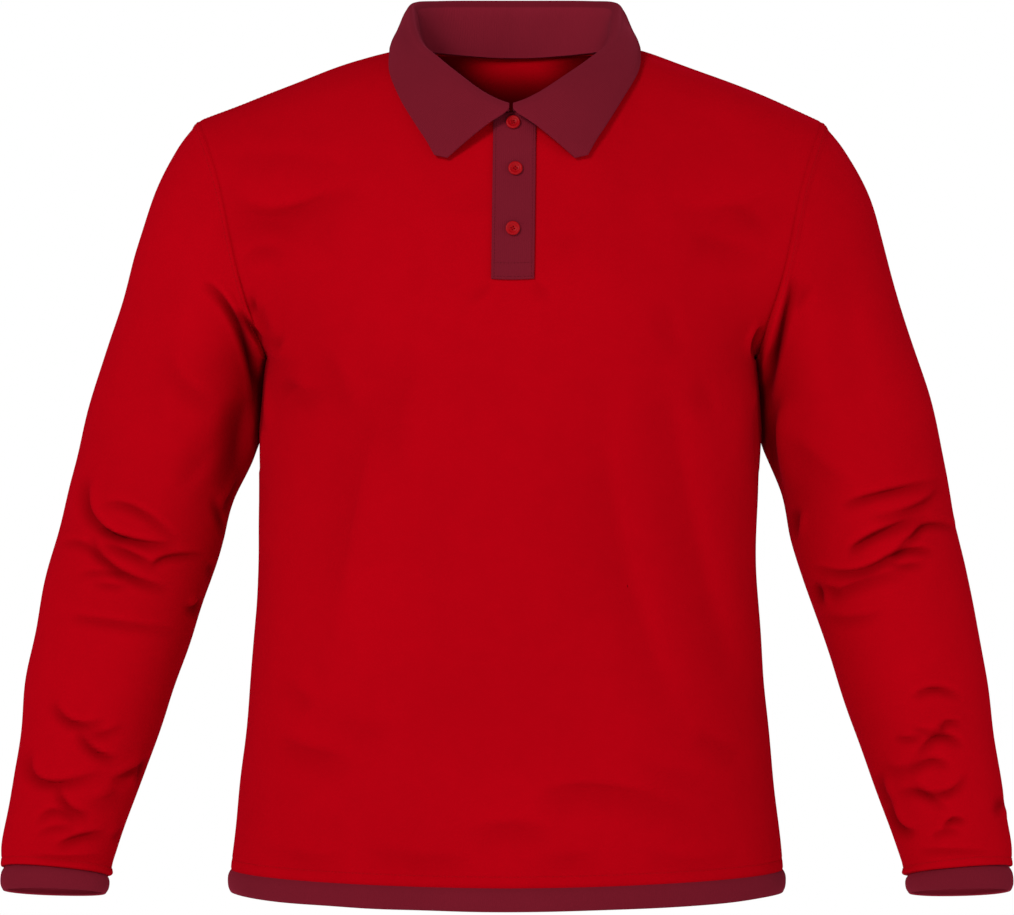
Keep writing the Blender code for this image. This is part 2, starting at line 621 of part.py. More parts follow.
def add_wall(name, points, normals, thickness, outward, material, closed=False, keep=None):
    """One closed cloth wall, with the given points on its outer side."""
    both = np.concatenate([points.reshape(-1, 3), (points - normals * thickness).reshape(-1, 3)])
    faces = wall_faces(both, points.shape[:2], closed, keep)
    if outward < 0:
        faces = [tuple(reversed(face)) for face in faces]
    mesh = bpy.data.meshes.new(name)
    mesh.from_pydata([tuple(point) for point in both], [], faces)
    shape = bmesh.new()
    shape.from_mesh(mesh)
    loose = [vertex for vertex in shape.verts if not vertex.link_faces]
    bmesh.ops.delete(shape, geom=loose, context="VERTS")
    shape.to_mesh(mesh)
    shape.free()
    mesh.shade_smooth()
    mesh.set_sharp_from_angle(angle=math.radians(50))
    mesh.materials.append(material)
    wall = bpy.data.objects.new(name, mesh)
    bpy.data.collections["golf_shirt"].objects.link(wall)
    return wall


def add_button(name, place, normal, material):
    """A turned button with a raised rim, lying on the placket."""
    profile = [(0.0, 0.0016), (0.0030, 0.0016), (0.0040, 0.0023), (0.0051, 0.0024),
               (BUTTON_RADIUS, 0.0017), (BUTTON_RADIUS, 0.0006), (0.0050, 0.0), (0.0, 0.0)]
    mesh = bpy.data.meshes.new(name)
    mesh.from_pydata([(x, 0.0, z) for x, z in profile], [(i, i + 1) for i in range(7)], [])
    mesh.materials.append(material)
    button = bpy.data.objects.new(name, mesh)
    bpy.data.collections["golf_shirt"].objects.link(button)
    turn = button.modifiers.new("turn", "SCREW")
    turn.steps = 18
    turn.render_steps = 18
    turn.use_merge_vertices = True
    turn.merge_threshold = 0.00005
    turn.use_smooth_shade = True
    button.rotation_mode = "QUATERNION"
    button.rotation_quaternion = Vector(normal).to_track_quat("Z", "Y")
    button.location = Vector(place)
    return button


def add_material(name, colour, roughness):
    material = bpy.data.materials.new(name)
    material.use_nodes = True
    shader = material.node_tree.nodes["Principled BSDF"]
    shader.inputs["Base Color"].default_value = (*colour, 1.0)
    shader.inputs["Roughness"].default_value = roughness
    shader.inputs["Metallic"].default_value = 0.0
    return material


def sewn_pieces():
    """Every panel that shares a seam's points with another, before folds and gaps."""
    front = body_panel(True)
    back = body_panel(False)
    pieces = {
        "front": dict(points=front, closed=False, outward=1, seams=["bottom", "top", "first", "last"]),
        "back": dict(points=back, closed=False, outward=-1, seams=["bottom", "top", "first", "last"]),
        "hem_band": dict(points=hem_band(front, back), closed=True, outward=-1, seams=["bottom"]),
    }
    for name, side in (("left", 1), ("right", -1)):
        arm = dict(points=sleeve(side), closed=True, outward=-side, seams=["bottom", "top"])
        cuff_points = ring_points(CUFF, range(len(CUFF)), sleeve_angles(), side)
        cuff = dict(points=cuff_points, closed=True, outward=-side, seams=["bottom"])
        pieces["sleeve_" + name] = arm
        pieces["cuff_" + name] = cuff
    for piece in pieces.values():
        piece["points"] = sway(piece["points"])
    shared_normals(pieces)
    for piece in pieces.values():
        piece["points"] = folded(piece["points"], piece["normals"])
    shared_normals(pieces)
    return pieces


def slit_cells(front_panel):
    """Which cells of the front panel are cloth: all but those of the placket's slit."""
    rows, columns = front_panel.shape[:2]
    keep = np.ones((rows - 1, columns - 1), dtype=bool)
    middle = columns // 2
    for row in range(rows - 1):
        if front_panel[row, middle, 2] > SLIT_BOTTOM:
            keep[row, middle - 1:middle + 1] = False
    return keep


def add_strip(name, front, half_width, top, bottom, lift, material):
    """A straight strip along the front's middle, its inner side lifted off the panel."""
    across = [-half_width, -0.0125, 0.0, 0.0125, half_width]
    heights = strip_heights(front["points"], top, bottom)
    points, normals = on_front(front["points"], front["normals"], across, heights)
    outer = points + normals * (lift + RIBBED)
    return outer, normals, add_wall(name, outer, normals, RIBBED, 1, material)


def build_shirt():
    for old in list(bpy.data.objects):
        bpy.data.objects.remove(old)
    collection = bpy.data.collections.new("golf_shirt")
    bpy.context.scene.collection.children.link(collection)
    red = add_material("red_knit", RED, 0.75)
    maroon = add_material("maroon_rib", MAROON, 0.8)
    button_red = add_material("button_red", RED, 0.35)

    pieces = sewn_pieces()
    ribbing = {"hem_band", "cuff_left", "cuff_right"}
    keep = {"front": slit_cells(pieces["front"]["points"])}
    for name, piece in pieces.items():
        ribbed = name in ribbing
        add_wall(name, pulled_back(piece), piece["normals"], RIBBED if ribbed else CLOTH,
                 piece["outward"], maroon if ribbed else red, piece["closed"], keep.get(name))

    collar_points = sway(collar(body_panel(True), body_panel(False)))
    collar_piece = {"points": collar_points, "closed": False, "outward": 1}
    shared_normals({"collar": collar_piece})
    add_wall("collar", collar_piece["points"], collar_piece["normals"], RIBBED, 1, maroon)

    front = pieces["front"]
    top = front["points"][-1, front["points"].shape[1] // 2, 2] - SEAM_GAP
    strip, strip_normals, _ = add_strip("placket", front, PLACKET_HALF_WIDTH, top,
                                        PLACKET_BOTTOM, SEAM_GAP, maroon)
    add_strip("placket_under", front, PLACKET_HALF_WIDTH, top, PLACKET_BOTTOM + 0.002,
              -CLOTH - SEAM_GAP - RIBBED, maroon)
    heights = strip[:, 2, 2]
    for number, (offset, height) in enumerate(BUTTON_PLACES, start=1):
        place = np.array([np.interp(height, heights, strip[:, 2, axis]) for axis in range(3)])
        place[0] += offset
        normal = np.array([np.interp(height, heights, strip_normals[:, 2, axis])
                           for axis in range(3)])
        add_button(f"button_{number}", place + normal * SEAM_GAP, normal, button_red)


build_shirt()
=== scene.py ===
import math

import bpy
import numpy as np
from mathutils import Matrix, Vector


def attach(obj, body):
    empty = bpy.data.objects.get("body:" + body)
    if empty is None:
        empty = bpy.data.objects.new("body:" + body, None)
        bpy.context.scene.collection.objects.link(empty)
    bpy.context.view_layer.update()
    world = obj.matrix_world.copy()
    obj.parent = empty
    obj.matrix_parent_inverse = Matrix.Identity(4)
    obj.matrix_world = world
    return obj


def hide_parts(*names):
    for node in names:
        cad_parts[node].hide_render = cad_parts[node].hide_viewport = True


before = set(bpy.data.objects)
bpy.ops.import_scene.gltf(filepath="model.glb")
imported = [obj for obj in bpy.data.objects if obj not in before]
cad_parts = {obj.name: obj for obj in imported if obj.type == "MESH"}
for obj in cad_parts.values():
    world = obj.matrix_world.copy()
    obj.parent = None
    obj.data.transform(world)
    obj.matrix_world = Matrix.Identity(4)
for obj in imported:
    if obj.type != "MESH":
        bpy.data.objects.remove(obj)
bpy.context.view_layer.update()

# A worn, filled-out shirt. The wearer faces -Y, so +X is the wearer's left. Metres.
cloth = {"wall": 0.0015, "ribbedWall": 0.0020, "liftOff": 0.0003, "seamDip": 0.0006,
         "seamReach": 0.0013, "stitchDip": 0.0004, "stitchReach": 0.0011,
         "foldScale": 1.0, "creaseLean": 0.8,
         # after the waves: painted shade on the sleeves' sides that face the body, where pieces
         # touch and far inside the back; then painted light inside the ribbed rims and at the back
         # neck
         "softWaves": 0.0006, "paintedInnerShade": 0.32, "paintedContactShade": 0.8, "paintedInsideShade": 1.15,
         "paintedRimLight": 1.0, "paintedNeckLight": 1.20}
body = {"hemSeam": -0.6812, "lastFlatSection": -0.268, "underarm": -0.2588, "power": 2.3,
        "hemPower": 1.75, "rounderFrom": -0.50,
        "underarmHalfWidth": 0.199, "underarmFront": 0.129, "underarmBack": 0.117,
        "lowerRows": 14, "upperRows": {"front": 11, "back": 12}, "shoulderColumns": 8,
        "neckAngles": {"front": [0, 20, 40, 57, 70, 81, 90], "back": [0, 18, 36, 54, 72, 90]},
        "columnParts": 8, "lowerParts": 8, "upperParts": 7, "stitchUp": 0.009,
        "archDegrees": {"front": (50.0, 80.0), "back": (62.0, 100.0)},  # middle, shoulder
        "closeToSide": [0.0095, 0.0035, 0.0],  # narrow cells beside the seams
        "closeToHem": [0.0, 0.0007, 0.0018, 0.0036, 0.0058, 0.0074, 0.0082, 0.0090, 0.0098,
                       0.0108],
        "closeToTop": [0.988, 0.9935, 0.9975, 1.0]}
neck = {"halfWidth": 0.084, "y": -0.012, "pointDrop": 0.003, "frontReach": 0.086,
        "backReach": 0.084, "frontDrop": 0.061, "backRise": 0.006, "columnBow": 0.014}
shoulder = {"halfWidth": 0.2575, "slopePower": 1.28, "pointAngle": 8.0}
armholeOval = {"middle": -0.160, "halfHeight": 0.0988, "front": 0.070,
               "back": 0.070 * 0.117 / 0.129}
eye = {"distance": 2.8, "height": -0.3399, "x": -0.0033, "pixel": 0.00083, "pixelsWide": 1014}

# height, half width, front depth, back depth
torsoRows = [
    (-0.6812, 0.2295, 0.1280, 0.1220), (-0.6242, 0.2230, 0.1260, 0.1180),
    (-0.5578, 0.2160, 0.1240, 0.1100), (-0.4914, 0.2096, 0.1210, 0.1020),
    (-0.4250, 0.2063, 0.1200, 0.0990), (-0.3586, 0.2066, 0.1230, 0.1040),
    (-0.3250, 0.2075, 0.1255, 0.1090), (-0.2922, 0.2050, 0.1280, 0.1130),
    (-0.2680, 0.2035, 0.1290, 0.1170)]
armholeRows = [  # height, half width
    (-0.2588, 0.2015), (-0.2400, 0.2065), (-0.2140, 0.2145), (-0.1670, 0.2262),
    (-0.1100, 0.2390), (-0.0850, 0.2475), (-0.0612, 0.2575)]
# outer x and z, inner x and z, middle in depth, half depths front and back, tip in degrees
sleeveRings = [
    (0.2575, -0.0612, 0.2015, -0.2588, 0.000, 0.070, 0.068, 0),
    (0.2764, -0.0847, 0.2036, -0.2640, 0.000, 0.067, 0.066, 0),
    (0.2947, -0.1195, 0.2044, -0.2695, 0.001, 0.065, 0.065, 0),
    (0.3087, -0.1635, 0.2050, -0.2775, 0.002, 0.063, 0.064, 0),
    (0.3220, -0.2092, 0.2056, -0.2880, 0.003, 0.062, 0.063, 0),
    (0.3464, -0.2855, 0.2084, -0.3270, 0.004, 0.060, 0.062, 0),
    (0.3612, -0.3461, 0.2277, -0.3727, 0.003, 0.058, 0.060, 1),
    (0.3698, -0.3918, 0.2362, -0.4092, 0.000, 0.056, 0.059, 3),
    (0.3797, -0.4314, 0.2449, -0.4397, -0.005, 0.054, 0.056, 6),
    (0.3873, -0.4741, 0.2575, -0.4770, -0.014, 0.051, 0.052, 9),
    (0.3947, -0.5228, 0.2728, -0.5260, -0.026, 0.047, 0.047, 11),
    (0.3987, -0.5712, 0.2890, -0.5745, -0.038, 0.042, 0.042, 13),
    (0.4045, -0.6192, 0.3055, -0.6225, -0.049, 0.036, 0.036, 14),
    (0.4100, -0.6510, 0.3170, -0.6570, -0.057, 0.031, 0.031, 14),
    (0.4104, -0.6650, 0.3212, -0.6705, -0.060, 0.030, 0.030, 14),
    (0.4106, -0.6712, 0.3208, -0.6772, -0.061, 0.0295, 0.0295, 14),
    (0.4078, -0.6720, 0.3250, -0.6790, -0.061, 0.027, 0.027, 14)]
cuffRings = [
    (0.4078, -0.6720, 0.3250, -0.6790, -0.0610, 0.0270, 0.0270, 14),
    (0.4104, -0.6780, 0.3232, -0.6835, -0.0625, 0.0285, 0.0285, 14),
    (0.4106, -0.6860, 0.3236, -0.6890, -0.0640, 0.0285, 0.0285, 14),
    (0.4082, -0.6915, 0.3262, -0.6935, -0.0650, 0.0265, 0.0265, 14)]
sideLine = [  # where the sleeve and the side rest against each other: height, half width
    (-0.3500, 0.2088), (-0.3262, 0.2079), (-0.3000, 0.2065), (-0.2822, 0.2053),
    (-0.2700, 0.2041), (-0.2588, 0.2014)]
hemRows = [(-0.6812, 0.0), (-0.6870, 0.0022), (-0.6950, 0.0022), (-0.7005, 0.0002)]
sleeve = {"rings": 255, "armholeFadesBy": 4.0, "stitchUp": 0.009}

# The creases, in millimetres in the plane that the camera sees. Columns: start x and z, middle
# x and z, end x and z, width, depth. A crease that runs to the right has its steep side above.
frontCreases = [
    (-240, -131, -196, -139, -138, -124, 20, -3.6),
    (134, -141, 186, -136, 237, -123, 20, -3.0),
    (-235, -95, -188, -90, -134, -101, 9, -1.0),
    (-237, -116, -185, -123, -129, -115, 8, -1.4),
    (-231, -131, -192, -138, -150, -130, 7, -0.7),
    (-228, -153, -207, -146, -175, -151, 6, -0.6),
    (-220, -179, -207, -168, -185, -173, 6, -1.2),
    (-217, -203, -207, -222, -202, -247, 6, -1.4),
    (-207, -252, -195, -261, -175, -261, 6, -0.8),
    (-196, -272, -178, -285, -157, -287, 10, -2.1),
    (-159, -251, -144, -279, -138, -310, 11, -1.6),
    (-113, -276, -134, -375, -167, -533, 20, -3.0),
    (-84, -251, -90, -309, -96, -360, 16, -2.2),
    (-46, -350, -59, -425, -54, -508, 18, -0.9),
    (149, -158, 178, -164, 208, -178, 11, -1.8),
    (186, -130, 200, -138, 215, -153, 7, -0.9),
    (155, -274, 163, -290, 168, -308, 8, -1.1),
    (130, -209, 134, -234, 144, -256, 9, -0.9),
    (120, -251, 157, -425, 186, -543, 18, -3.0),
    (74, -267, 92, -425, 149, -576, 18, -2.6),
    (42, -309, 46, -392, 66, -491, 18, -0.9),
    (-198, -573, -168, -585, -135, -591, 10, -2.2),
    (-188, -523, -177, -537, -165, -550, 8, -1.4),
    (-150, -554, -125, -564, -90, -563, 9, -0.9),
    (28, -625, 74, -615, 159, -637, 11, -2.6),
    (107, -599, 137, -604, 167, -616, 9, -0.9),
    (-36, -654, -1, -647, 34, -654, 9, -1.8),
    (-117, -666, -76, -673, -32, -674, 8, -1.2),
    (28, -671, 51, -673, 76, -670, 8, -1.2),
    (-207, -662, -175, -672, -139, -672, 8, -1.1),
    (115, -667, 149, -676, 192, -671, 8, -1.1),
    (157, -569, 173, -579, 192, -583, 9, -1.5),
    (-16, -194, -24, -203, -36, -211, 5, -0.8),
    (18, -194, 26, -200, 32, -208, 5, -0.8),
    (-13, -126, -34, -131, -59, -126, 9, -0.6),
    (21, -151, 42, -159, 71, -158, 9, -0.5),
    # sleeve on the left of the picture
    (-351, -357, -347, -388, -318, -406, 4.5, -3.8),
    (-341, -395, -316, -407, -280, -413, 4, -3.4),
    (-337, -379, -310, -383, -278, -408, 4, -2.4),
    (-347, -406, -328, -431, -285, -449, 4, -3.6),
    (-339, -411, -316, -419, -295, -431, 3.5, -2.6),
    (-296, -431, -286, -422, -255, -421, 3.5, -2.6),
    (-373, -411, -354, -412, -340, -427, 3.5, -1.6),
    (-359, -437, -341, -435, -321, -437, 3, -1.2),
    (-348, -443, -333, -446, -318, -447, 3, -1.1),
    (-366, -471, -333, -476, -278, -484, 4, -1.7),
    (-240, -385, -228, -367, -219, -352, 4, -3.3),
    (-247, -374, -241, -390, -237, -405, 3, -2.0),
    (-252, -428, -246, -435, -248, -446, 4, -3.3),
    (-270, -464, -261, -463, -255, -455, 4, -3.3),
    (-261, -468, -257, -476, -260, -485, 3, -1.6),
    (-380, -543, -364, -559, -338, -559, 4, -3.1),
    (-359, -568, -345, -583, -327, -590, 4, -3.3),
    (-356, -569, -339, -569, -320, -561, 4, -1.6),
    (-400, -584, -388, -608, -340, -602, 4.5, -3.3),
    (-377, -614, -366, -630, -350, -637, 4, -3.0),
    (-393, -642, -378, -633, -360, -645, 3.5, -1.9),
    (-376, -663, -359, -654, -337, -652, 4, -2.8),
    (-393, -653, -378, -647, -361, -649, 3, -1.1),
    (-330, -608, -312, -598, -301, -588, 4, -2.9),
    (-310, -616, -307, -603, -303, -593, 4, -2.5),
    (-351, -629, -334, -623, -323, -615, 7, -1.8),
    (-331, -657, -326, -652, -321, -645, 4, -1.6),
    (-398, -670, -370, -672, -339, -671, 3, -1.0),
    # under the arm beside it
    (-251, -196, -219, -242, -205, -317, 3.6, -6.5),
    (-225, -216, -217, -229, -207, -243, 3, -4.5),
    (-215, -208, -213, -214, -213, -220, 3, -1.6),
    (-190, -238, -193, -246, -198, -251, 4, -1.2),
    (-176, -272, -183, -280, -193, -286, 5, -1.0),
    (-222, -290, -224, -325, -232, -369, 10, -6.0),
    (-283, -256, -266, -282, -246, -294, 7, -1.5),
    (-278, -168, -285, -234, -300, -317, 16, -1.2),
    (-235, -309, -258, -344, -278, -364, 9, -1.5),
    # sleeve on the right of the picture
    (276, -380, 306, -369, 356, -359, 4, -3.0),
    (300, -390, 335, -380, 356, -364, 4, -2.6),
    (281, -420, 300, -403, 343, -389, 4.5, -4.1),
    (252, -432, 300, -429, 344, -390, 4, -3.3),
    (332, -408, 346, -395, 370, -399, 3.5, -2.6),
    (315, -423, 330, -416, 351, -418, 3.5, -2.8),
    (313, -427, 327, -429, 343, -428, 3, -1.7),
    (263, -458, 288, -444, 330, -434, 5, -2.4),
    (258, -472, 282, -474, 308, -468, 4.5, -1.4),
    (254, -444, 263, -448, 271, -446, 5, -2.7),
    (238, -383, 237, -394, 235, -408, 4, -2.9),
    (252, -444, 256, -453, 258, -463, 3.5, -2.9),
    (334, -539, 351, -531, 373, -538, 3.5, -2.5),
    (334, -564, 349, -566, 358, -557, 3, -2.0),
    (356, -568, 362, -559, 374, -561, 3, -2.0),
    (339, -585, 355, -570, 375, -579, 4, -3.6),
    (318, -572, 330, -573, 341, -572, 3, -1.6),
    (330, -601, 348, -591, 364, -597, 4, -2.5),
    (332, -608, 358, -618, 378, -603, 3.5, -2.5),
    (323, -618, 341, -618, 360, -631, 4, -2.6),
    (359, -648, 366, -640, 378, -642, 3, -2.4),
    (313, -621, 320, -642, 335, -651, 4.5, -3.8),
    (408, -621, 407, -628, 404, -637, 4, -2.5),
    (349, -656, 359, -650, 373, -651, 3, -1.3),
    (306, -603, 309, -616, 314, -627, 4, -2.3),
    (306, -594, 327, -598, 341, -579, 5, -1.6),
    (339, -666, 364, -666, 398, -667, 3, -1.0),
    # under the arm beside it
    (207, -300, 219, -247, 234, -193, 3.6, -6.5),
    (203, -256, 202, -243, 209, -232, 3, -4.5),
    (219, -289, 215, -325, 221, -369, 10, -6.0),
    (250, -198, 242, -208, 235, -220, 6, -1.6),
    (271, -168, 280, -234, 291, -317, 16, -1.2),
    (222, -317, 250, -344, 278, -364, 9, -1.4)]
backCreases = [
    (-150, -120, -60, -150, 40, -140, 20, -1.7),
    (30, -260, 110, -210, 150, -130, 20, -1.9),
    (-170, -250, -110, -330, -60, -350, 18, -2.2),
    (-160, -430, -60, -455, 70, -440, 18, -2.5),
    (-60, -500, 50, -515, 165, -480, 18, -2.2),
    (-130, -570, -80, -600, -10, -610, 17, -1.7),
    (90, -580, 110, -620, 150, -650, 15, -1.7),
    (-215, -120, -178, -132, -120, -122, 9, -0.9),
    (128, -108, 176, -120, 222, -112, 9, -0.9),
    (-205, -232, -178, -262, -160, -296, 10, -1.2),
    (158, -286, 180, -262, 207, -240, 10, -1.4),
    (-120, -392, -40, -402, 60, -386, 12, -1.2),
    (40, -478, 110, -470, 178, -440, 12, -1.2),
    (-190, -480, -120, -500, -60, -496, 12, -1.2),
    (-60, -650, -20, -640, 40, -652, 9, -1.0),
    (278, -385, 310, -402, 352, -380, 5.5, -3.4),
    (258, -425, 300, -445, 372, -430, 5.5, -3.4),
    (268, -404, 300, -420, 330, -412, 4, -1.7),
    (290, -540, 330, -560, 385, -548, 5.5, -3.0),
    (316, -600, 350, -615, 392, -606, 5, -2.6),
    (322, -640, 350, -632, 380, -642, 4, -1.5),
    (230, -190, 242, -240, 256, -300, 12, -1.5),
    (-356, -378, -315, -405, -278, -390, 5.5, -3.4),
    (-372, -425, -305, -440, -256, -430, 5.5, -3.4),
    (-340, -402, -305, -418, -276, -410, 4, -1.7),
    (-388, -545, -330, -556, -286, -530, 5.5, -3.0),
    (-392, -600, -352, -612, -318, -606, 5, -2.6),
    (-384, -640, -352, -634, -326, -644, 4, -1.5),
    (-232, -186, -246, -240, -262, -306, 12, -1.5)]


def smooth(value):
    value = np.clip(value, 0.0, 1.0)
    return value * value * (3.0 - 2.0 * value)


def curveThrough(rows, keys, at):
    rows = np.array(rows, dtype=float)
    keys = np.array(keys, dtype=float)
    at = np.clip(np.atleast_1d(np.array(at, dtype=float)), keys[0], keys[-1])
    slopes = np.gradient(rows, keys, axis=0)
    left = np.clip(np.searchsorted(keys, at, side="right") - 1, 0, len(keys) - 2)
    span = (keys[left + 1] - keys[left])[:, None]
    part = (at - keys[left])[:, None] / span
    return ((1 + 2 * part) * (1 - part) ** 2 * rows[left]
            + part * (1 - part) ** 2 * span * slopes[left]
            + part ** 2 * (3 - 2 * part) * rows[left + 1]
            + part ** 2 * (part - 1) * span * slopes[left + 1])


def finer(values, parts):
    steps = np.arange((len(values) - 1) * parts + 1) / parts
    return np.interp(steps, range(len(values)), values)


def runLengths(points, axis):
    steps = np.linalg.norm(np.diff(points, axis=axis), axis=2)
    pad = [(1, 0), (0, 0)] if axis == 0 else [(0, 0), (1, 0)]
    return np.pad(np.cumsum(steps, axis=axis), pad)


def edgeDistances(points):
    up, across = runLengths(points, 0), runLengths(points, 1)
    return {"bottom": up, "top": up[-1:] - up, "first": across, "last": across[:, -1:] - across}


def readOff(at, keys, rows):
    return np.stack([np.interp(at, keys, rows[:, axis]) for axis in range(3)], axis=-1)


# the shirt hangs a little to one side: how far, from which height, and over what height
hang = {"waist": (-0.0033, -0.28, -0.17), "neck": (0.0033, -0.06, 0.055)}


def sway(points):
    moved = points.copy()
    for shift, begin, over in hang.values():
        moved[..., 0] += shift * smooth((points[..., 2] - begin) / over)
    return moved


# Body and sleeve forms
def armholePoints(angle):
    turn = np.radians(np.atleast_1d(np.array(angle, dtype=float)))
    height = armholeOval["middle"] + armholeOval["halfHeight"] * np.cos(turn)
    reach = np.where(np.sin(turn) > 0, armholeOval["front"], armholeOval["back"])
    rows = [[row[1]] for row in armholeRows]
    width = curveThrough(rows, [row[0] for row in armholeRows], height)[:, 0]
    return np.stack([width, -reach * np.sin(turn), height], axis=1)


def topX(across):
    spread = shoulder["halfWidth"] - body["underarmHalfWidth"]
    return body["underarmHalfWidth"] * across + spread * across ** 3


def section(turn, power):
    turn = np.clip(turn, 0.0, math.pi / 2)
    return np.cos(turn) ** (2 / power), np.sin(turn) ** (2 / power)


def turnAtDepth(share):
    return np.arcsin(np.clip(share, 0.0, 1.0) ** (body["power"] / 2))


def halfColumns(sideName):
    armholeTurn = turnAtDepth(armholeOval["front"] / body["underarmFront"])
    armholeShare = section(armholeTurn, body["power"])[0]
    shares = np.linspace(0.0, 1.0, 2001)
    neckX = neck["halfWidth"] * np.cos(np.radians(body["neckAngles"][sideName][::-1]))
    across = np.interp(neckX, topX(shares), shares)
    upper = np.arccos((across * armholeShare) ** (body["power"] / 2))
    inner = math.pi / 2 * (upper - armholeTurn) / (math.pi / 2 - armholeTurn)
    outer = np.linspace(inner[-1], 0.0, body["shoulderColumns"] + 1)[1:]
    fine = finer(np.concatenate([inner, outer]), body["columnParts"])
    return np.concatenate([fine[:-1], body["closeToSide"]])


def lowerHeights():
    coarse = np.linspace(body["hemSeam"], body["lastFlatSection"], body["lowerRows"] + 1)
    fine = finer(coarse, body["lowerParts"])
    near = body["hemSeam"] + np.array(body["closeToHem"])
    return np.concatenate([near, fine[fine > near[-1] + 0.001]])


def upperRises(sideName):
    rows = body["upperRows"][sideName] * body["upperParts"]
    fine = np.linspace(0.0, 1.0, rows + 1)
    return np.concatenate([fine[fine < body["closeToTop"][0] - 0.003], body["closeToTop"]])


def armholeAngles(sideName):
    rise = upperRises(sideName)
    if sideName == "front":
        return 180.0 - (180.0 - shoulder["pointAngle"]) * rise
    return -180.0 + (180.0 + shoulder["pointAngle"]) * rise


def topEdge(share, front):
    x = topX(share)
    turn = np.arccos(np.clip(x / neck["halfWidth"], 0.0, 1.0))
    reach = -neck["frontReach"] if front else neck["backReach"]
    neckY = neck["y"] + reach * np.sin(turn)
    if front:
        neckZ = -neck["pointDrop"] - neck["frontDrop"] * np.sin(turn) ** 1.7
    else:
        neckZ = -neck["pointDrop"] + neck["backRise"] * np.sin(turn)
    point = armholePoints(shoulder["pointAngle"])[0]
    out = np.clip((x - neck["halfWidth"]) / (shoulder["halfWidth"] - neck["halfWidth"]), 0, 1)
    seamY = neck["y"] + (point[1] - neck["y"]) * out
    seamZ = -neck["pointDrop"] + (point[2] + neck["pointDrop"]) * out ** shoulder["slopePower"]
    onNeck = x < neck["halfWidth"]
    return np.where(onNeck, neckY, seamY), np.where(onNeck, neckZ, seamZ), turn


def lowerPart(turns, signs, front):
    heights = lowerHeights()
    sizes = curveThrough([row[1:] for row in torsoRows], [row[0] for row in torsoRows], heights)
    depth = -sizes[:, 1] if front else sizes[:, 2]
    rounder = smooth((body["rounderFrom"] - heights) / (body["rounderFrom"] - body["hemSeam"]))
    power = body["power"] + (body["hemPower"] - body["power"]) * rounder
    across, deep = section(turns[None, :], power[:, None])
    return np.stack([sizes[:, 0, None] * across * signs, depth[:, None] * deep,
                     np.repeat(heights[:, None], len(turns), axis=1)], axis=2)


def upperPart(turns, signs, sideName):
    front = sideName == "front"
    rise = upperRises(sideName)[:, None]
    angles = armholeAngles(sideName)
    edge = armholePoints(angles)
    edgeRise = ((edge[:, 2] - edge[0, 2]) / (edge[-1, 2] - edge[0, 2]))[:, None]
    fromUnderarm = np.radians(np.minimum(180.0 - np.abs(angles), 90.0))
    depthShare = armholeOval["front"] / body["underarmFront"] * np.sin(fromUnderarm)
    edgeTurn = np.maximum.accumulate(turnAtDepth(depthShare)[:, None])
    turn = edgeTurn + (math.pi / 2 - edgeTurn) * turns[None, :] / (math.pi / 2)
    across, deep = section(turn, body["power"])
    across = across / section(edgeTurn, body["power"])[0]
    nearEdge = across ** 4
    half = body["underarmHalfWidth"]
    x = half * across + (edge[:, 0, None] - half) * across ** 3
    besideNeck = np.exp(-((topX(across[-1:]) - neck["halfWidth"]) / 0.035) ** 2)
    x = x + neck["columnBow"] * besideNeck * np.sin(math.pi * rise ** 2)
    topY, topZ, neckTurn = topEdge(across[-1:], front)
    middleArch, shoulderArch = body["archDegrees"][sideName]
    arch = np.radians(shoulderArch + (middleArch - shoulderArch) * np.sin(neckTurn))
    climb = np.sin(rise * arch) / np.sin(arch)
    inward = (1 - np.cos(rise * arch)) / (1 - np.cos(arch))
    z = body["underarm"] + (topZ - body["underarm"]) * (climb + (edgeRise - climb) * nearEdge)
    y = (-body["underarmFront"] if front else body["underarmBack"]) * deep
    y = y + (topY - y) * inward
    y = y + (edge[:, 1, None] - y[:, [int(np.argmin(turns))]]) * nearEdge
    return np.stack([x * signs, y, z], axis=2)


def bodyPanel(sideName):
    half = halfColumns(sideName)
    turns = np.concatenate([half[:0:-1], half])
    signs = np.concatenate([-np.ones(len(half) - 1), np.ones(len(half))])
    lower = lowerPart(turns, signs, sideName == "front")
    upper = upperPart(turns, signs, sideName)
    between = [lower[-1] * (1 - part) + upper[0] * part for part in (1 / 3, 2 / 3)]
    return np.concatenate([lower, between, upper])


def relaxed(panel, rounds=60):
    points = panel.copy()
    distances = edgeDistances(points)
    toSide = np.minimum(distances["first"], distances["last"])
    share = 0.5 * smooth((distances["top"] - 0.006) / 0.02) * smooth((toSide - 0.004) / 0.03)
    share = (share * smooth((points[:, :, 2] - body["underarm"]) / 0.05))[:, 1:-1, None]
    for _ in range(rounds):
        points[:, 1:-1] += share * ((points[:, :-2] + points[:, 2:]) / 2 - points[:, 1:-1])
    join = (body["underarm"] + body["lastFlatSection"]) / 2  # no ridge between the two parts
    share = 0.5 * np.exp(-((points[:, :, 2] - join) / 0.035) ** 2) * smooth(toSide / 0.03)
    for _ in range(rounds):
        points[1:-1] += share[1:-1, :, None] * ((points[:-2] + points[2:]) / 2 - points[1:-1])
    return points


def ringPoints(rings, at, angles, side):
    sizes = curveThrough(rings, range(len(rings)), at)
    outer, inner = sizes[:, [0, 1]], sizes[:, [2, 3]]
    turn = np.radians(angles)[None, :]
    middle, reach = (outer + inner) / 2, (outer - inner) / 2
    depth = np.where(np.sin(turn) > 0, sizes[:, 5, None], sizes[:, 6, None]) * np.sin(turn)
    tip = np.radians(sizes[:, 7])[:, None]
    x = middle[:, 0, None] + reach[:, 0, None] * np.cos(turn)
    z = middle[:, 1, None] + reach[:, 1, None] * np.cos(turn) + depth * np.sin(tip)
    return np.stack([side * x, sizes[:, 4, None] - depth * np.cos(tip), z], axis=2)


def sleeveAngles():
    return np.concatenate([armholeAngles("front"), armholeAngles("back")[::-1][1:-1]])


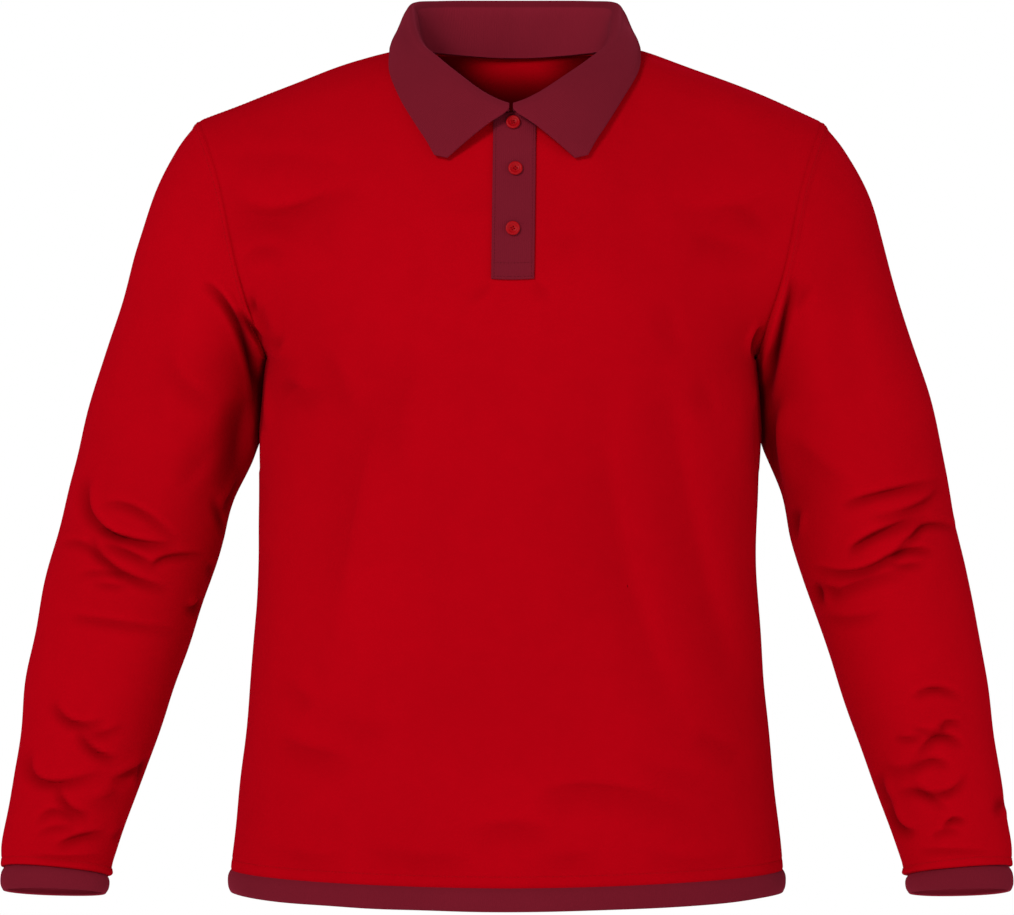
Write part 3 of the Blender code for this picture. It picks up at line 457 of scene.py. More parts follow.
def sleevePoints(side):
    angles = sleeveAngles()
    last = len(sleeveRings) - 1.0
    at = np.concatenate([[0.0, 0.03, 0.065, 0.10, 0.135, 0.17, 0.205, 0.24, 0.28, 0.33],
                         np.linspace(0.39, last, sleeve["rings"])])
    points = ringPoints(sleeveRings, at, angles, side)
    loop = armholePoints(angles) * (side, 1.0, 1.0)
    fade = (1.0 - smooth(at / sleeve["armholeFadesBy"]))[:, None, None]
    return points + fade * (loop - points[0])[None, :, :]


def hemBand(frontPanel, backPanel):
    loop = np.concatenate([frontPanel[0], backPanel[0, -2:0:-1]])
    outward = loop * (1.0, 1.0, 0.0)
    outward = outward / np.linalg.norm(outward, axis=1, keepdims=True)
    places = np.concatenate([[0.0, 0.12, 0.3], np.linspace(0.5, 2.7, 12), [2.86, 2.94, 3.0]])
    rows = []
    for height, bulge in curveThrough(hemRows, range(4), places):
        points = loop + outward * bulge
        points[:, 2] = height
        rows.append(points)
    return np.array(rows)


# Folds, pressed into the plain form along its own normals
def nearestOnPath(seen, path):
    best = np.full(len(seen), 1e9)
    side = np.zeros(len(seen))
    share = np.zeros(len(seen))
    away = np.zeros((len(seen), 2))
    steps = len(path) - 1
    for index in range(steps):
        along = path[index + 1] - path[index]
        off = seen - path[index]
        part = np.clip(off @ along / (along @ along), 0.0, 1.0)
        gap = off - part[:, None] * along
        distance = np.hypot(gap[:, 0], gap[:, 1])
        closer = distance < best
        best[closer] = distance[closer]
        turned = along[0] * off[:, 1] - along[1] * off[:, 0]
        side[closer] = np.sign(turned[closer])
        share[closer] = (index + part[closer]) / steps
        away[closer] = gap[closer] / np.maximum(distance[closer], 1e-6)[:, None]
    return best, side, share, away


# a crease's form, in its own widths: fall-off on its steep and gentle side, the ridge on each, how
# far it is felt, how soon its ends fade, and how dark the painted shade in a trough may be
crease = {"steep": 0.75, "gentle": 1.45, "reach": 3.6, "endPower": 0.8, "paintedDarkest": 0.85,
          "ridge": {"height": 0.55, "at": 1.45, "width": 0.75},
          "farRidge": {"height": 0.16, "at": -2.3, "width": 0.9},
          # how it leans, then how much painted light its ridges get and how strong its painted
          # shade is
          "lean": {"at": 1.15, "width": 0.8, "fullDepth": 4.0}, "paintedRidgeLight": 0.35, "tone": 0.75}


def bulge(d, form):
    return form.get("height", 1.0) * np.exp(-((d - form["at"]) / form["width"]) ** 2)


def creaseShift(seen, creases):  # out of the cloth, across it, and the painted shade in its trough, with painted light on its ridges
    out = np.zeros(len(seen))
    paintedShadeAndLight = np.zeros(len(seen))
    across = np.zeros((len(seen), 2))
    for *places, width, depth in creases:
        start, middle, end = np.array(places, dtype=float).reshape(3, 2)
        share = np.linspace(0.0, 1.0, 17)[:, None]
        pull = 2 * middle - (start + end) / 2
        path = (1 - share) ** 2 * start + 2 * share * (1 - share) * pull + share ** 2 * end
        reach = crease["reach"] * width
        low, high = path.min(axis=0) - reach, path.max(axis=0) + reach
        near = np.flatnonzero(np.all((seen > low) & (seen < high), axis=1))
        if len(near) == 0:
            continue
        distance, side, along, away = nearestOnPath(seen[near], path)
        d = distance * side / width
        trough = np.exp(-(d / np.where(d > 0, crease["steep"], crease["gentle"])) ** 2)
        ridges = bulge(d, crease["ridge"]) + bulge(d, crease["farRidge"])
        taper = np.sin(math.pi * np.clip(0.03 + 0.94 * along, 0, 1)) ** crease["endPower"]
        beyond = np.where((along <= 0) | (along >= 1), np.exp(-(distance / width) ** 2), 1.0)
        strength = taper * beyond
        out[near] += depth * strength * (trough - ridges)
        # painted shade in the trough and painted light on the ridges, stronger for a narrow deep
        # crease
        tone = min(crease["paintedDarkest"], -crease["tone"] * depth / width)
        paintedShadeAndLight[near] += tone * strength * (trough - crease["paintedRidgeLight"] * ridges)
        steep = min(1.0, -depth / crease["lean"]["fullDepth"]) * cloth["creaseLean"] * width
        lean = steep * strength * bulge(d, crease["lean"]) * (d > 0)
        across[near] -= away * lean[:, None]
    return out / 1000.0, across / 1000.0, paintedShadeAndLight


def softWaves(points):
    x, y, z = points[:, 0], points[:, 1], points[:, 2]
    wave = (np.sin(41 * x + 17 * z + 1.3) * np.sin(29 * z - 13 * x + 23 * y)
            + 0.6 * np.sin(73 * z + 31 * x + 2.1) * np.sin(47 * x - 37 * y + 0.4)
            + 0.5 * np.sin(19 * x + 97 * y + 11 * z) * np.sin(61 * z + 0.8))
    return cloth["softWaves"] * wave


def folded(points, normals, hold):
    flat = points.reshape(-1, 3)
    facing = normals.reshape(-1, 3)
    out = softWaves(flat)
    across = np.zeros_like(flat)
    paintedShadeAndLightSums = np.zeros(len(flat))
    # the creases seen from the front and from the back, each with its painted shade and painted
    # light
    for creases, toward in ((frontCreases, -1.0), (backCreases, 1.0)):
        scale = eye["distance"] / (eye["distance"] - toward * flat[:, 1])
        seen = np.stack([flat[:, 0] * scale,
                         eye["height"] + (flat[:, 2] - eye["height"]) * scale], axis=1) * 1000.0
        shown = smooth((toward * facing[:, 1] + 0.05) / 0.40)
        pressed, pulled, paintedShadeAndLight = creaseShift(seen, creases)
        out += pressed * shown
        paintedShadeAndLightSums += paintedShadeAndLight * shown
        across[:, [0, 2]] += pulled * shown[:, None]
    across -= facing * np.sum(across * facing, axis=1)[:, None]
    moved = across * hold.reshape(-1)[:, None] + facing * (out * cloth["foldScale"])[:, None]
    return points + moved.reshape(points.shape), paintedShadeAndLightSums.reshape(points.shape[:2])


def pressedTogether(points, plain, name):
    heights = points[:, :, 2]
    limit = np.interp(heights, [row[0] for row in sideLine], [row[1] for row in sideLine])
    middle = sway(np.stack([limit, limit, heights], axis=2))[:, :, 0] - limit
    inside = (heights > sideLine[0][0]) & (heights < sideLine[-1][0])
    reach = np.abs(points[:, :, 0] - middle)
    before = np.abs(plain[:, :, 0] - middle)
    touch = smooth((0.006 - np.abs(before - limit)) / 0.004) * inside
    reach = reach * (1 - touch) + before * touch
    flat = smooth((0.0028 - np.abs(before - limit)) / 0.002) * smooth((heights + 0.333) / 0.02)
    reach = reach + flat * (limit - reach)
    if name.startswith("sleeve"):
        reach = np.maximum(reach, limit - 0.0001)
    else:
        reach = np.minimum(reach, limit + 0.0001)
    moved = points.copy()
    side = np.sign(points[:, :, 0] - middle)
    moved[:, :, 0] = np.where(inside, side * reach + middle, points[:, :, 0])
    ends = smooth((heights - sideLine[0][0]) / 0.03)
    # the second value marks where the pieces touch, for the painted contact shade
    return moved, smooth((0.0050 - np.abs(reach - limit)) / 0.0042) * inside * ends


# Normals, shared where two pieces are sewn together
def cornerNormals(points, closed, outward):
    sums = np.zeros_like(points)
    rows, columns = points.shape[:2]
    first = np.arange(columns if closed else columns - 1)
    second = (first + 1) % columns
    low, high = slice(0, rows - 1), slice(1, rows)
    corners = [(low, first), (low, second), (high, second), (high, first)]
    for index, corner in enumerate(corners):
        here = points[corner[0]][:, corner[1]]
        ahead = points[corners[(index + 1) % 4][0]][:, corners[(index + 1) % 4][1]] - here
        behind = points[corners[index - 1][0]][:, corners[index - 1][1]] - here
        cross = np.cross(ahead, behind)
        length = np.linalg.norm(cross, axis=2, keepdims=True)
        angle = np.arctan2(length, np.sum(ahead * behind, axis=2, keepdims=True))
        np.add.at(sums[corner[0]], (slice(None), corner[1]),
                  cross / np.maximum(length, 1e-12) * angle)
    return sums * outward


def edgeMask(shape):
    mask = np.zeros(shape, dtype=bool)
    mask[0] = mask[-1] = True
    mask[:, 0] = mask[:, -1] = True
    return mask


def shareNormals(pieces):
    totals = {}
    for piece in pieces.values():
        piece["sums"] = cornerNormals(piece["points"], piece["closed"], piece["outward"])
        mask = edgeMask(piece["points"].shape[:2])
        keys = np.round(piece["points"][mask] * 2e4).astype(int)
        piece["keys"] = [tuple(key) for key in keys]
        for key, vector in zip(piece["keys"], piece["sums"][mask]):
            totals[key] = totals.get(key, 0.0) + vector
    for piece in pieces.values():
        vectors = piece["sums"].copy()
        vectors[edgeMask(vectors.shape[:2])] = np.array([totals[key] for key in piece["keys"]])
        piece["normals"] = vectors / np.linalg.norm(vectors, axis=2, keepdims=True)


def seamDistances(piece):
    distances = edgeDistances(piece["points"])
    return {edge: distances[edge] for edge in piece["seams"]}


# A wall of cloth, closed at its rims
def rimThickness(points, thickness, freeEdges):
    distances = edgeDistances(points)
    inset = np.zeros(points.shape[:2])
    for edge in freeEdges:
        share = np.clip(1 - distances[edge] / (0.6 * thickness), 0, 1)
        inset = np.maximum(inset, 0.34 * thickness * (1 - np.sqrt(1 - share ** 2)))
    return inset[:, :, None]


def addWall(name, points, normals, thickness, outward, material, closed=False, keep=None,
            freeEdges=(), seamShare=None, paintedShadeAndLight=None, paintedShadeAndLightInside=None):
    rows, columns = points.shape[:2]
    inset = rimThickness(points, thickness, freeEdges)
    outer = points - normals * inset
    inner = points - normals * (thickness - inset)
    both = np.concatenate([outer.reshape(-1, 3), inner.reshape(-1, 3)])
    layer = rows * columns
    low = np.arange(rows - 1)[:, None]
    first = np.arange(columns if closed else columns - 1)[None, :]
    after = (first + 1) % columns
    quads = np.stack([low * columns + first, low * columns + after,
                      (low + 1) * columns + after, (low + 1) * columns + first], axis=2)
    if keep is not None:
        quads = quads[keep]
    quads = quads.reshape(-1, 4)
    begin = quads.reshape(-1)
    finish = np.roll(quads, -1, axis=1).reshape(-1)
    codes = begin.astype(np.int64) * layer + finish
    lonely = ~np.isin(finish.astype(np.int64) * layer + begin, codes)
    a, b = begin[lonely], finish[lonely]
    rims = np.stack([b, a, a + layer, b + layer], axis=1)
    faces = np.concatenate([quads, quads[:, ::-1] + layer, rims])
    if outward < 0:
        faces = faces[:, ::-1]
    used = np.unique(faces)
    renumber = np.full(2 * layer, -1)
    renumber[used] = np.arange(len(used))
    faces = renumber[faces]
    mesh = bpy.data.meshes.new(name)
    mesh.from_pydata(both[used].tolist(), [], faces.tolist())

    # one texture unit is a metre of cloth, across and along
    acrossRun = runLengths(np.concatenate([points, points[:, :1]], axis=1), 1)
    girth = acrossRun[:, -1]
    middle = 0 if closed else columns // 2
    acrossRun = acrossRun - acrossRun[:, middle:middle + 1]
    alongRun = runLengths(points, 0)
    u = np.tile(acrossRun[:, :columns].reshape(-1), 2)[used][faces]
    v = np.tile(alongRun.reshape(-1), 2)[used][faces]
    if closed:
        total = np.tile(np.repeat(girth, columns), 2)[used][faces]
        wraps = (u.max(axis=1) - u.min(axis=1)) > 0.5 * total.min(axis=1)
        u = np.where(wraps[:, None] & (u < 0.5 * total), u + total, u)
    layerUv = mesh.uv_layers.new(name="cloth")
    layerUv.data.foreach_set("uv", np.stack([u, v], axis=2).reshape(-1))
    # point values for the material: nearness to a seam, and the painted shade and painted light,
    # outside and inside
    tones = (("seam", seamShare, seamShare),
             ("paintedShadeAndLight", paintedShadeAndLight, paintedShadeAndLight if paintedShadeAndLightInside is None else paintedShadeAndLightInside))
    for label, outside, inside in tones:
        if outside is not None:
            shade = mesh.attributes.new(label, "FLOAT", "POINT")
            layers = np.concatenate([outside.reshape(-1), inside.reshape(-1)])
            shade.data.foreach_set("value", layers[used])
    mesh.shade_smooth()
    mesh.set_sharp_from_angle(angle=math.radians(60))
    mesh.materials.append(material)
    wall = bpy.data.objects.new(name, mesh)
    bpy.context.scene.collection.objects.link(wall)
    return wall


# Finishes
class Value:  # a number that varies over the surface
    def __init__(self, finish, socket):
        self.finish, self.socket = finish, socket

    def math(self, operation, *others, clamp=False):
        values = [self, *others]
        made = self.finish.node("ShaderNodeMath", {"operation": operation, "use_clamp": clamp},
                                dict(enumerate(values)))
        return Value(self.finish, made.outputs[0])

    def __add__(self, other): return self.math("ADD", other)
    def __radd__(self, other): return self.math("ADD", other)
    def __sub__(self, other): return self.math("SUBTRACT", other)
    def __rsub__(self, other): return (self * -1) + other
    def __mul__(self, other): return self.math("MULTIPLY", other)
    def __rmul__(self, other): return self.math("MULTIPLY", other)
    def __truediv__(self, other): return self.math("DIVIDE", other)
    def __neg__(self): return self * -1


class Nodes:  # a node tree
    def __init__(self, tree):
        self.tree = tree

    def node(self, kind, settings=None, sockets=None):
        made = self.tree.nodes.new(kind)
        for name, value in (settings or {}).items():
            setattr(made, name, value)
        for name, value in (sockets or {}).items():
            self.feed(made.inputs[name], value)
        return made

    def feed(self, socket, value):
        if isinstance(value, Value):
            self.tree.links.new(value.socket, socket)
        elif isinstance(value, bpy.types.NodeSocket):
            self.tree.links.new(value, socket)
        else:
            socket.default_value = value


class Finish(Nodes):  # one material and its nodes
    def __init__(self, name):
        self.material = bpy.data.materials.new(name)
        self.material.use_nodes = True
        super().__init__(self.material.node_tree)
        self.shader = self.tree.nodes["Principled BSDF"]

    def value(self, socket):
        return Value(self, socket)

    def attribute(self, name):
        made = self.node("ShaderNodeAttribute", {"attribute_name": name})
        return self.value(made.outputs["Fac"])

    def noise(self, scale, detail=2.0, rough=0.5):
        place = self.node("ShaderNodeTexCoord").outputs["Object"]
        made = self.node("ShaderNodeTexNoise", {"noise_dimensions": "3D"},
                         {"Vector": place, "Scale": scale, "Detail": detail, "Roughness": rough})
        return self.value(made.outputs["Fac"])

    def blendColours(self, share, first, second):
        made = self.node("ShaderNodeMix", {"data_type": "RGBA"},
                         {0: share, 6: first, 7: second})
        return made.outputs[2]

    def clothPlace(self):
        uv = self.node("ShaderNodeUVMap", {"uv_map": "cloth"}).outputs[0]
        split = self.node("ShaderNodeSeparateXYZ", None, {0: uv})
        return self.value(split.outputs[0]), self.value(split.outputs[1])

    def bump(self, height, strength, distance):
        made = self.node("ShaderNodeBump", None, {"Strength": strength, "Distance": distance,
                                                  "Height": height})
        return made.outputs[0]


def shadeOf(colour, share):
    return (*(channel * share for channel in colour), 1.0)


# In each look, the last three numbers set its painted shade and painted light.
knit = {"colour": (0.400, 0.0006, 0.0050), "wale": 0.00105, "course": 0.00085, "bump": 0.30,
        "bumpHeight": 0.00035, "roughness": 0.80, "fuzz": 0.12, "sheen": 0.18,
        "sheenRoughness": 0.45, "sheenTint": (1.0, 0.01, 0.04, 1.0), "toneSpread": 0.06,
        "paintedShadeStrength": 0.75, "paintedLightStrength": 0.9, "paintedLightest": 1.6}
rib = {"colour": (0.150, 0.0085, 0.0180), "ribPitch": 0.0016, "course": 0.0009, "bump": 0.35,
       "bumpHeight": 0.0004, "roughness": 0.85, "fuzz": 0.10, "sheen": 0.15,
       "sheenRoughness": 0.5, "sheenTint": (1.0, 0.12, 0.22, 1.0), "toneSpread": 0.05,
       "paintedShadeStrength": 0.6, "paintedLightStrength": 1.0, "paintedLightest": 2.0}
paintedDarkest = 0.04  # share of a cloth's colour in the darkest painted shade


def baseColour(made, look, tone):
    return made.blendColours(tone, shadeOf(look["colour"], 1 - look["toneSpread"]),
                             shadeOf(look["colour"], 1 + look["toneSpread"]))


def clothShader(made, look, colour, height, fuzz):
    # painted shade darkens the colour where the attribute is above zero; painted light lightens it
    # where it is below zero
    paintedAmount = made.attribute("paintedShadeAndLight")
    paintedShaded = made.blendColours((paintedAmount * look["paintedShadeStrength"]).math("MINIMUM", 0.9, clamp=True),
                               colour, shadeOf(look["colour"], paintedDarkest))
    paintedLit = made.blendColours((paintedAmount * -look["paintedLightStrength"]).math("MINIMUM", 1.0, clamp=True),
                            paintedShaded, shadeOf(look["colour"], look["paintedLightest"]))
    made.feed(made.shader.inputs["Base Color"], paintedLit)
    made.feed(made.shader.inputs["Roughness"],
              fuzz * look["fuzz"] + (look["roughness"] - look["fuzz"] / 2))
    made.feed(made.shader.inputs["Normal"],
              made.bump(height + fuzz * 0.5, look["bump"], look["bumpHeight"]))
    made.shader.inputs["Sheen Weight"].default_value = look["sheen"]
    made.shader.inputs["Sheen Roughness"].default_value = look["sheenRoughness"]
    made.shader.inputs["Sheen Tint"].default_value = look["sheenTint"]
    made.shader.inputs["Specular IOR Level"].default_value = 0.0
    return made.material


def jerseyFinish(name, look):
    made = Finish(name)
    u, v = made.clothPlace()
    place = (u / look["wale"]).math("FRACT")
    legs = 0.5 - 0.5 * (place * (4 * math.pi)).math("COSINE")
    lean = (place - 0.5).math("ABSOLUTE")
    loops = 0.5 + 0.5 * ((v / look["course"] + lean * 1.1) * (2 * math.pi)).math("SINE")
    height = legs * (0.55 + 0.45 * loops)
    mottled = made.noise(7.0, 3.0) * 0.7 + made.noise(60.0, 2.0) * 0.3
    base = baseColour(made, look, mottled.math("MULTIPLY_ADD", 2.4, -0.7, clamp=True))
    # painted shade between the knit loops; the colour is also darker along the seams
    deep = ((1 - height) * 0.16 + made.attribute("seam") * 0.15).math("MINIMUM", 0.6)
    paintedValleyShade = made.blendColours(deep, base, shadeOf(look["colour"], 0.55))
    return clothShader(made, look, paintedValleyShade, height, made.noise(900.0, 3.0))


def ribFinish(name, look):
    made = Finish(name)
    u, v = made.clothPlace()
    ribs = 0.5 + 0.5 * (u * (2 * math.pi / look["ribPitch"])).math("SINE")
    loops = 0.5 + 0.5 * (v * (2 * math.pi / look["course"])).math("SINE")
    height = ribs * (0.7 + 0.3 * loops)
    tone = made.noise(16.0, 3.0).math("MULTIPLY_ADD", 2.2, -0.6, clamp=True)
    # painted shade between the ribs
    paintedValleyShade = made.blendColours((1 - height) * 0.18, baseColour(made, look, tone),
                                 shadeOf(look["colour"], 0.5))
    return clothShader(made, look, paintedValleyShade, height, made.noise(1000.0, 3.0))


# bump: scale, detail, strength, height
yarn = {"grain": 500.0, "detail": 2.0, "tones": (0.8, 1.15), "roughness": 0.5, "vary": 0.1,
        "bump": (2500.0, 1.0, 0.3, 0.0001), "specular": 0.0, "coat": 0.0}
plastic = {"grain": 180.0, "detail": 4.0, "rough": 0.6, "tones": (0.85, 1.12),
           "roughness": 0.36, "vary": 0.12, "bump": (700.0, 2.0, 0.08, 0.0002), "specular": 0.08,
           "coat": 0.01}


def smallFinish(name, look, colour):
    made = Finish(name)
    grain = made.noise(look["grain"], look["detail"], look.get("rough", 0.5))
    base = made.blendColours(grain, *(shadeOf(colour, share) for share in look["tones"]))
    scale, detail, strength, distance = look["bump"]
    made.feed(made.shader.inputs["Base Color"], base)
    made.feed(made.shader.inputs["Roughness"], grain * look["vary"] + look["roughness"])
    made.feed(made.shader.inputs["Normal"],
              made.bump(made.noise(scale, detail), strength, distance))
    made.shader.inputs["Specular IOR Level"].default_value = look["specular"]
    made.shader.inputs["Coat Weight"].default_value = look["coat"]
    made.shader.inputs["Coat Roughness"].default_value = 0.4
    return made.material


redKnit = jerseyFinish("red_knit_cloth", knit)
maroonRib = ribFinish("maroon_rib_cloth", rib)
redThread = smallFinish("red_thread", yarn, (0.38, 0.004, 0.008))
maroonThread = smallFinish("maroon_thread", yarn, (0.13, 0.008, 0.016))
buttonRed = smallFinish("button_plastic", plastic, (0.31, 0.0005, 0.0035))
print("finishes made")


# Panels that share their seams
def seamRelief(name, distances, seamShare):
    relief = -cloth["seamDip"] * seamShare
    if name.startswith("sleeve"):  # the seam allowance lies under the sleeve's edge
        fromArmhole = distances["bottom"]
        relief = relief + 0.0008 * smooth(fromArmhole / 0.002) * (
            1 - smooth((fromArmhole - 0.0065) / 0.003))
        fromStitches = distances["top"] - sleeve["stitchUp"]
    elif name in ("front", "back"):
        fromStitches = distances["bottom"] - body["stitchUp"]
    else:
        return relief * 0.8
    return relief - cloth["stitchDip"] * np.exp(-(fromStitches / cloth["stitchReach"]) ** 2)


def sewnPieces():
    front, back = relaxed(bodyPanel("front")), relaxed(bodyPanel("back"))
    allRound = ["bottom", "top", "first", "last"]
    pieces = {
        "front": dict(points=front, closed=False, outward=1, seams=allRound),
        "back": dict(points=back, closed=False, outward=-1, seams=allRound),
        "hem_band": dict(points=hemBand(front, back), closed=True, outward=-1, seams=["bottom"]),
    }
    cuffPlaces = np.concatenate([[0.0, 0.08, 0.2], np.linspace(0.35, 2.7, 14),
                                 [2.85, 2.94, 3.0]])
    for name, side in (("left", 1), ("right", -1)):
        pieces["sleeve_" + name] = dict(points=sleevePoints(side), closed=True, outward=-side,
                                        seams=["bottom", "top"])
        cuff = ringPoints(cuffRings, cuffPlaces, sleeveAngles(), side)
        pieces["cuff_" + name] = dict(points=cuff, closed=True, outward=-side, seams=["bottom"])
    for piece in pieces.values():
        piece["points"] = sway(piece["points"])
    shareNormals(pieces)
    for name, piece in pieces.items():
        distances = seamDistances(piece)
        nearest = np.minimum.reduce(list(distances.values()))
        piece["seamShare"] = np.exp(-(nearest / cloth["seamReach"]) ** 2)
        relief = seamRelief(name, distances, piece["seamShare"])
        plain = piece["points"]
        moved, piece["paintedShadeAndLight"] = folded(plain, piece["normals"], smooth(nearest / 0.012))
        piece["points"] = moved + piece["normals"] * relief[:, :, None]
        if name.startswith("sleeve"):  # painted shade on the side that faces the body
            side = -1.0 if name == "sleeve_right" else 1.0
            inward = smooth((-side * piece["normals"][:, :, 0] - 0.1) / 0.7)
            low = smooth((moved[:, :, 2] + 0.43) / 0.10)
            piece["paintedShadeAndLight"] += cloth["paintedInnerShade"] * inward * (0.5 + 0.5 * low)
        if name in ("front", "back", "sleeve_left", "sleeve_right"):
            piece["points"], touch = pressedTogether(piece["points"], plain, name)
            # painted shade where the sleeve and the side touch
            piece["paintedShadeAndLight"] += cloth["paintedContactShade"] * touch
    shareNormals(pieces)
    return pieces


def slitCells(panel):
    keep = np.ones((panel.shape[0] - 1, panel.shape[1] - 1), dtype=bool)
    middle = panel.shape[1] // 2
    reach = body["columnParts"]
    above = np.flatnonzero(panel[:-1, middle, 2] > placket["slitBottom"])
    keep[above[:, None], np.arange(middle - reach, middle + reach)[None, :]] = False
    return keep


placket = {"halfWidth": 0.017, "bottom": -0.199, "slitBottom": -0.190, "rowStep": 0.0022,
           "stitchIn": 0.0022, "boxHeight": 0.011, "shiftBelow": 0.0012, "shiftAbove": 0.0030}

# places are across and up; the profile is radius and height from the back, face first
buttons = {"steps": 56, "turn": [12, 48, 30],
           "places": [(-0.0012, -0.0722), (0.0010, -0.1100), (-0.0004, -0.1582)],
           "holeRadius": 0.00062, "holeOut": 0.00125, "holeSteps": 16,
           "profile": [(0.0, 0.0013), (0.0024, 0.00135), (0.0031, 0.0016), (0.0037, 0.0021),
                       (0.0043, 0.0024), (0.0050, 0.0024), (0.0055, 0.0021), (0.0057, 0.0016),
                       (0.0057, 0.0009), (0.0053, 0.0003), (0.0046, 0.0), (0.0, 0.0)]}
ribbed = ("hem_band", "cuff_left", "cuff_right")


def paintedInsideShadeAndLight(name, piece):  # painted shade far inside, painted light where light falls in
    if name in ribbed:
        return -cloth["paintedRimLight"] * (1 - piece["seamShare"])
    if name != "back":
        return piece["paintedShadeAndLight"]
    toNeck = edgeDistances(piece["points"])["top"]
    away = np.abs(piece["points"][:, :, 0] - 0.004)
    paintedDark = smooth((toNeck - 0.010) / 0.034) + 0.8 * smooth((away - 0.018) / 0.045)
    paintedLit = (1 - smooth(toNeck / 0.03)) * (1 - smooth((away - 0.01) / 0.04))
    paintedDark = np.minimum(paintedDark, 1.0) * (1 - piece["seamShare"])
    return cloth["paintedInsideShade"] * paintedDark - cloth["paintedNeckLight"] * paintedLit


pieces = sewnPieces()
made = {}
for name, piece in pieces.items():
    isRib = name in ribbed
    keep = slitCells(piece["points"]) if name == "front" else None
    made[name] = addWall(name + "_cloth", piece["points"], piece["normals"],
                         cloth["ribbedWall"] if isRib else cloth["wall"], piece["outward"],
                         maroonRib if isRib else redKnit, piece["closed"], keep,
                         ["top"] if isRib else [], piece["seamShare"], piece["paintedShadeAndLight"],
                         paintedInsideShadeAndLight(name, piece))
print("body, sleeves, cuffs and hem band made")

# The collar, from the front middle past the neck point (6) to the back (11), in millimetres:
# place, then the top of its roll and the free edge of its fall.
collarRows = [
    (0.0, 1.8, -105.5, -58.5, 50.8, -108.5, -101.0), (0.5, 8.0, -104.5, -56.5, 61.1, -106.5, -98.5),
    (1.5, 22.0, -100.5, -49.5, 67.0, -102.0, -87.5), (2.9, 44.0, -90.5, -33.5, 77.0, -93.0, -71.5),
    (4.0, 62.5, -73.0, -18.0, 89.5, -77.0, -50.0), (4.9, 76.5, -51.0, -4.0, 100.5, -51.5, -26.0),
    (5.75, 83.0, -28.0, 11.5, 102.0, -25.0, -6.5), (6.8, 85.5, 0.0, 26.5, 100.5, 5.0, 0.0),
    (8.0, 85.0, 34.0, 40.0, 94.0, 41.0, -3.0), (9.3, 63.0, 66.0, 46.0, 66.0, 71.0, -12.0),
    (11.0, 0.0, 79.0, 48.0, 0.0, 85.0, -15.0)]
collar = {"rollRadius": 0.0035, "crown": 0.0025, "placesPerCell": 8, "backDip": 0.0040,
          # the stand's rows, and how much painted light its back part gets
          "standRows": 14, "paintedStandLight": 0.39,
          "steps": [0.0, 14.0, 28.0, 32.5, 37.0, 50.0, 63.0, 76.0]}  # mm along its section


def collarHalf(frontPanel, backPanel):
    parts = body["columnParts"]
    frontMiddle, backMiddle = frontPanel.shape[1] // 2, backPanel.shape[1] // 2
    line = np.concatenate([frontPanel[-1, frontMiddle:frontMiddle + 6 * parts + 1],
                           backPanel[-1, backMiddle:backMiddle + 5 * parts][::-1]])
    fine = np.arange(11 * collar["placesPerCell"] + 1) / collar["placesPerCell"]
    places = np.concatenate([[0.0, 0.02, 0.05], fine[1:]])
    seam = readOff(places * parts, range(len(line)), line)
    seam[:, 0] = np.maximum(seam[:, 0], 0.0015 * (places < 1))
    turns = [-angle for angle in body["neckAngles"]["front"][::-1]]
    turns += body["neckAngles"]["back"][1:]
    turn = np.radians(np.interp(places, range(len(turns)), turns))
    outward = np.stack([np.cos(turn), np.sin(turn), np.zeros(len(turn))], axis=1)
    up = np.array([0.0, 0.0, 1.0])
    keys = [row[0] for row in collarRows]
    table = np.array(collarRows)[:, 1:] / 1000.0
    fold = curveThrough(table[:, :3], keys, places)
    edge = curveThrough(table[1:, 3:], keys[1:], places)
    front = places < keys[1]
    share = (places[front] / keys[1])[:, None]
    edge[front] = table[0, 3:] * (1 - share) + table[1, 3:] * share
    foot = seam - (cloth["ribbedWall"] + cloth["liftOff"]) * outward + cloth["liftOff"] * up
    foot = foot - collar["backDip"] * smooth((places - 6.2) / 4.8)[:, None] * up
    rollIn = fold - collar["rollRadius"] * (outward + up)
    rollOut = fold + collar["rollRadius"] * (outward - up)
    rows = [foot, (foot + rollIn) / 2, rollIn, fold, rollOut]
    for share in (1 / 3, 2 / 3, 1.0):
        crown = collar["crown"] * math.sin(math.pi * share) * (outward + 0.5 * up)
        rows.append(rollOut + (edge - rollOut) * share + crown)
    rows = np.array(rows)
    stand, roll, fall = ((0, 26, collar["standRows"]), (27, 39, 19), (41, 74, 18))
    places = np.concatenate([np.linspace(*stand), np.linspace(*roll), np.linspace(*fall),
                             [75.0, 75.6, 76.0]])
    flat = curveThrough(rows.reshape(len(rows), -1), collar["steps"], places)
    return flat.reshape(len(places), -1, 3)


half = collarHalf(bodyPanel("front"), bodyPanel("back"))
collarPoints = sway(np.concatenate([half, half[:, -2::-1] * (-1.0, 1.0, 1.0)], axis=1))
collarPiece = {"points": collarPoints, "closed": False, "outward": 1}
shareNormals({"collar": collarPiece})
# painted light on the back part of the collar's stand
paintedCollarLight = -collar["paintedStandLight"] * smooth(collarPoints[:, :, 1] / 0.04)
paintedCollarLight[collar["standRows"]:] *= 0.0
made["collar"] = addWall("collar_cloth", collarPiece["points"], collarPiece["normals"],
                         cloth["ribbedWall"], 1, maroonRib,
                         freeEdges=["top", "first", "last"],
                         seamShare=np.zeros(collarPoints.shape[:2]), paintedShadeAndLight=paintedCollarLight)
print("collar made")


def acrossRow(points, normals, row, xs, shift=0.0):  # places and normals, xs from the middle
    low = min(int(row), len(points) - 2)
    part = row - low
    line, facing = (grid[low] * (1 - part) + grid[low + 1] * part for grid in (points, normals))
    offset = line[:, 0] - line[points.shape[1] // 2, 0] - shift
    facing = readOff(xs, offset, facing)
    return readOff(xs, offset, line), facing / np.linalg.norm(facing, axis=-1, keepdims=True)


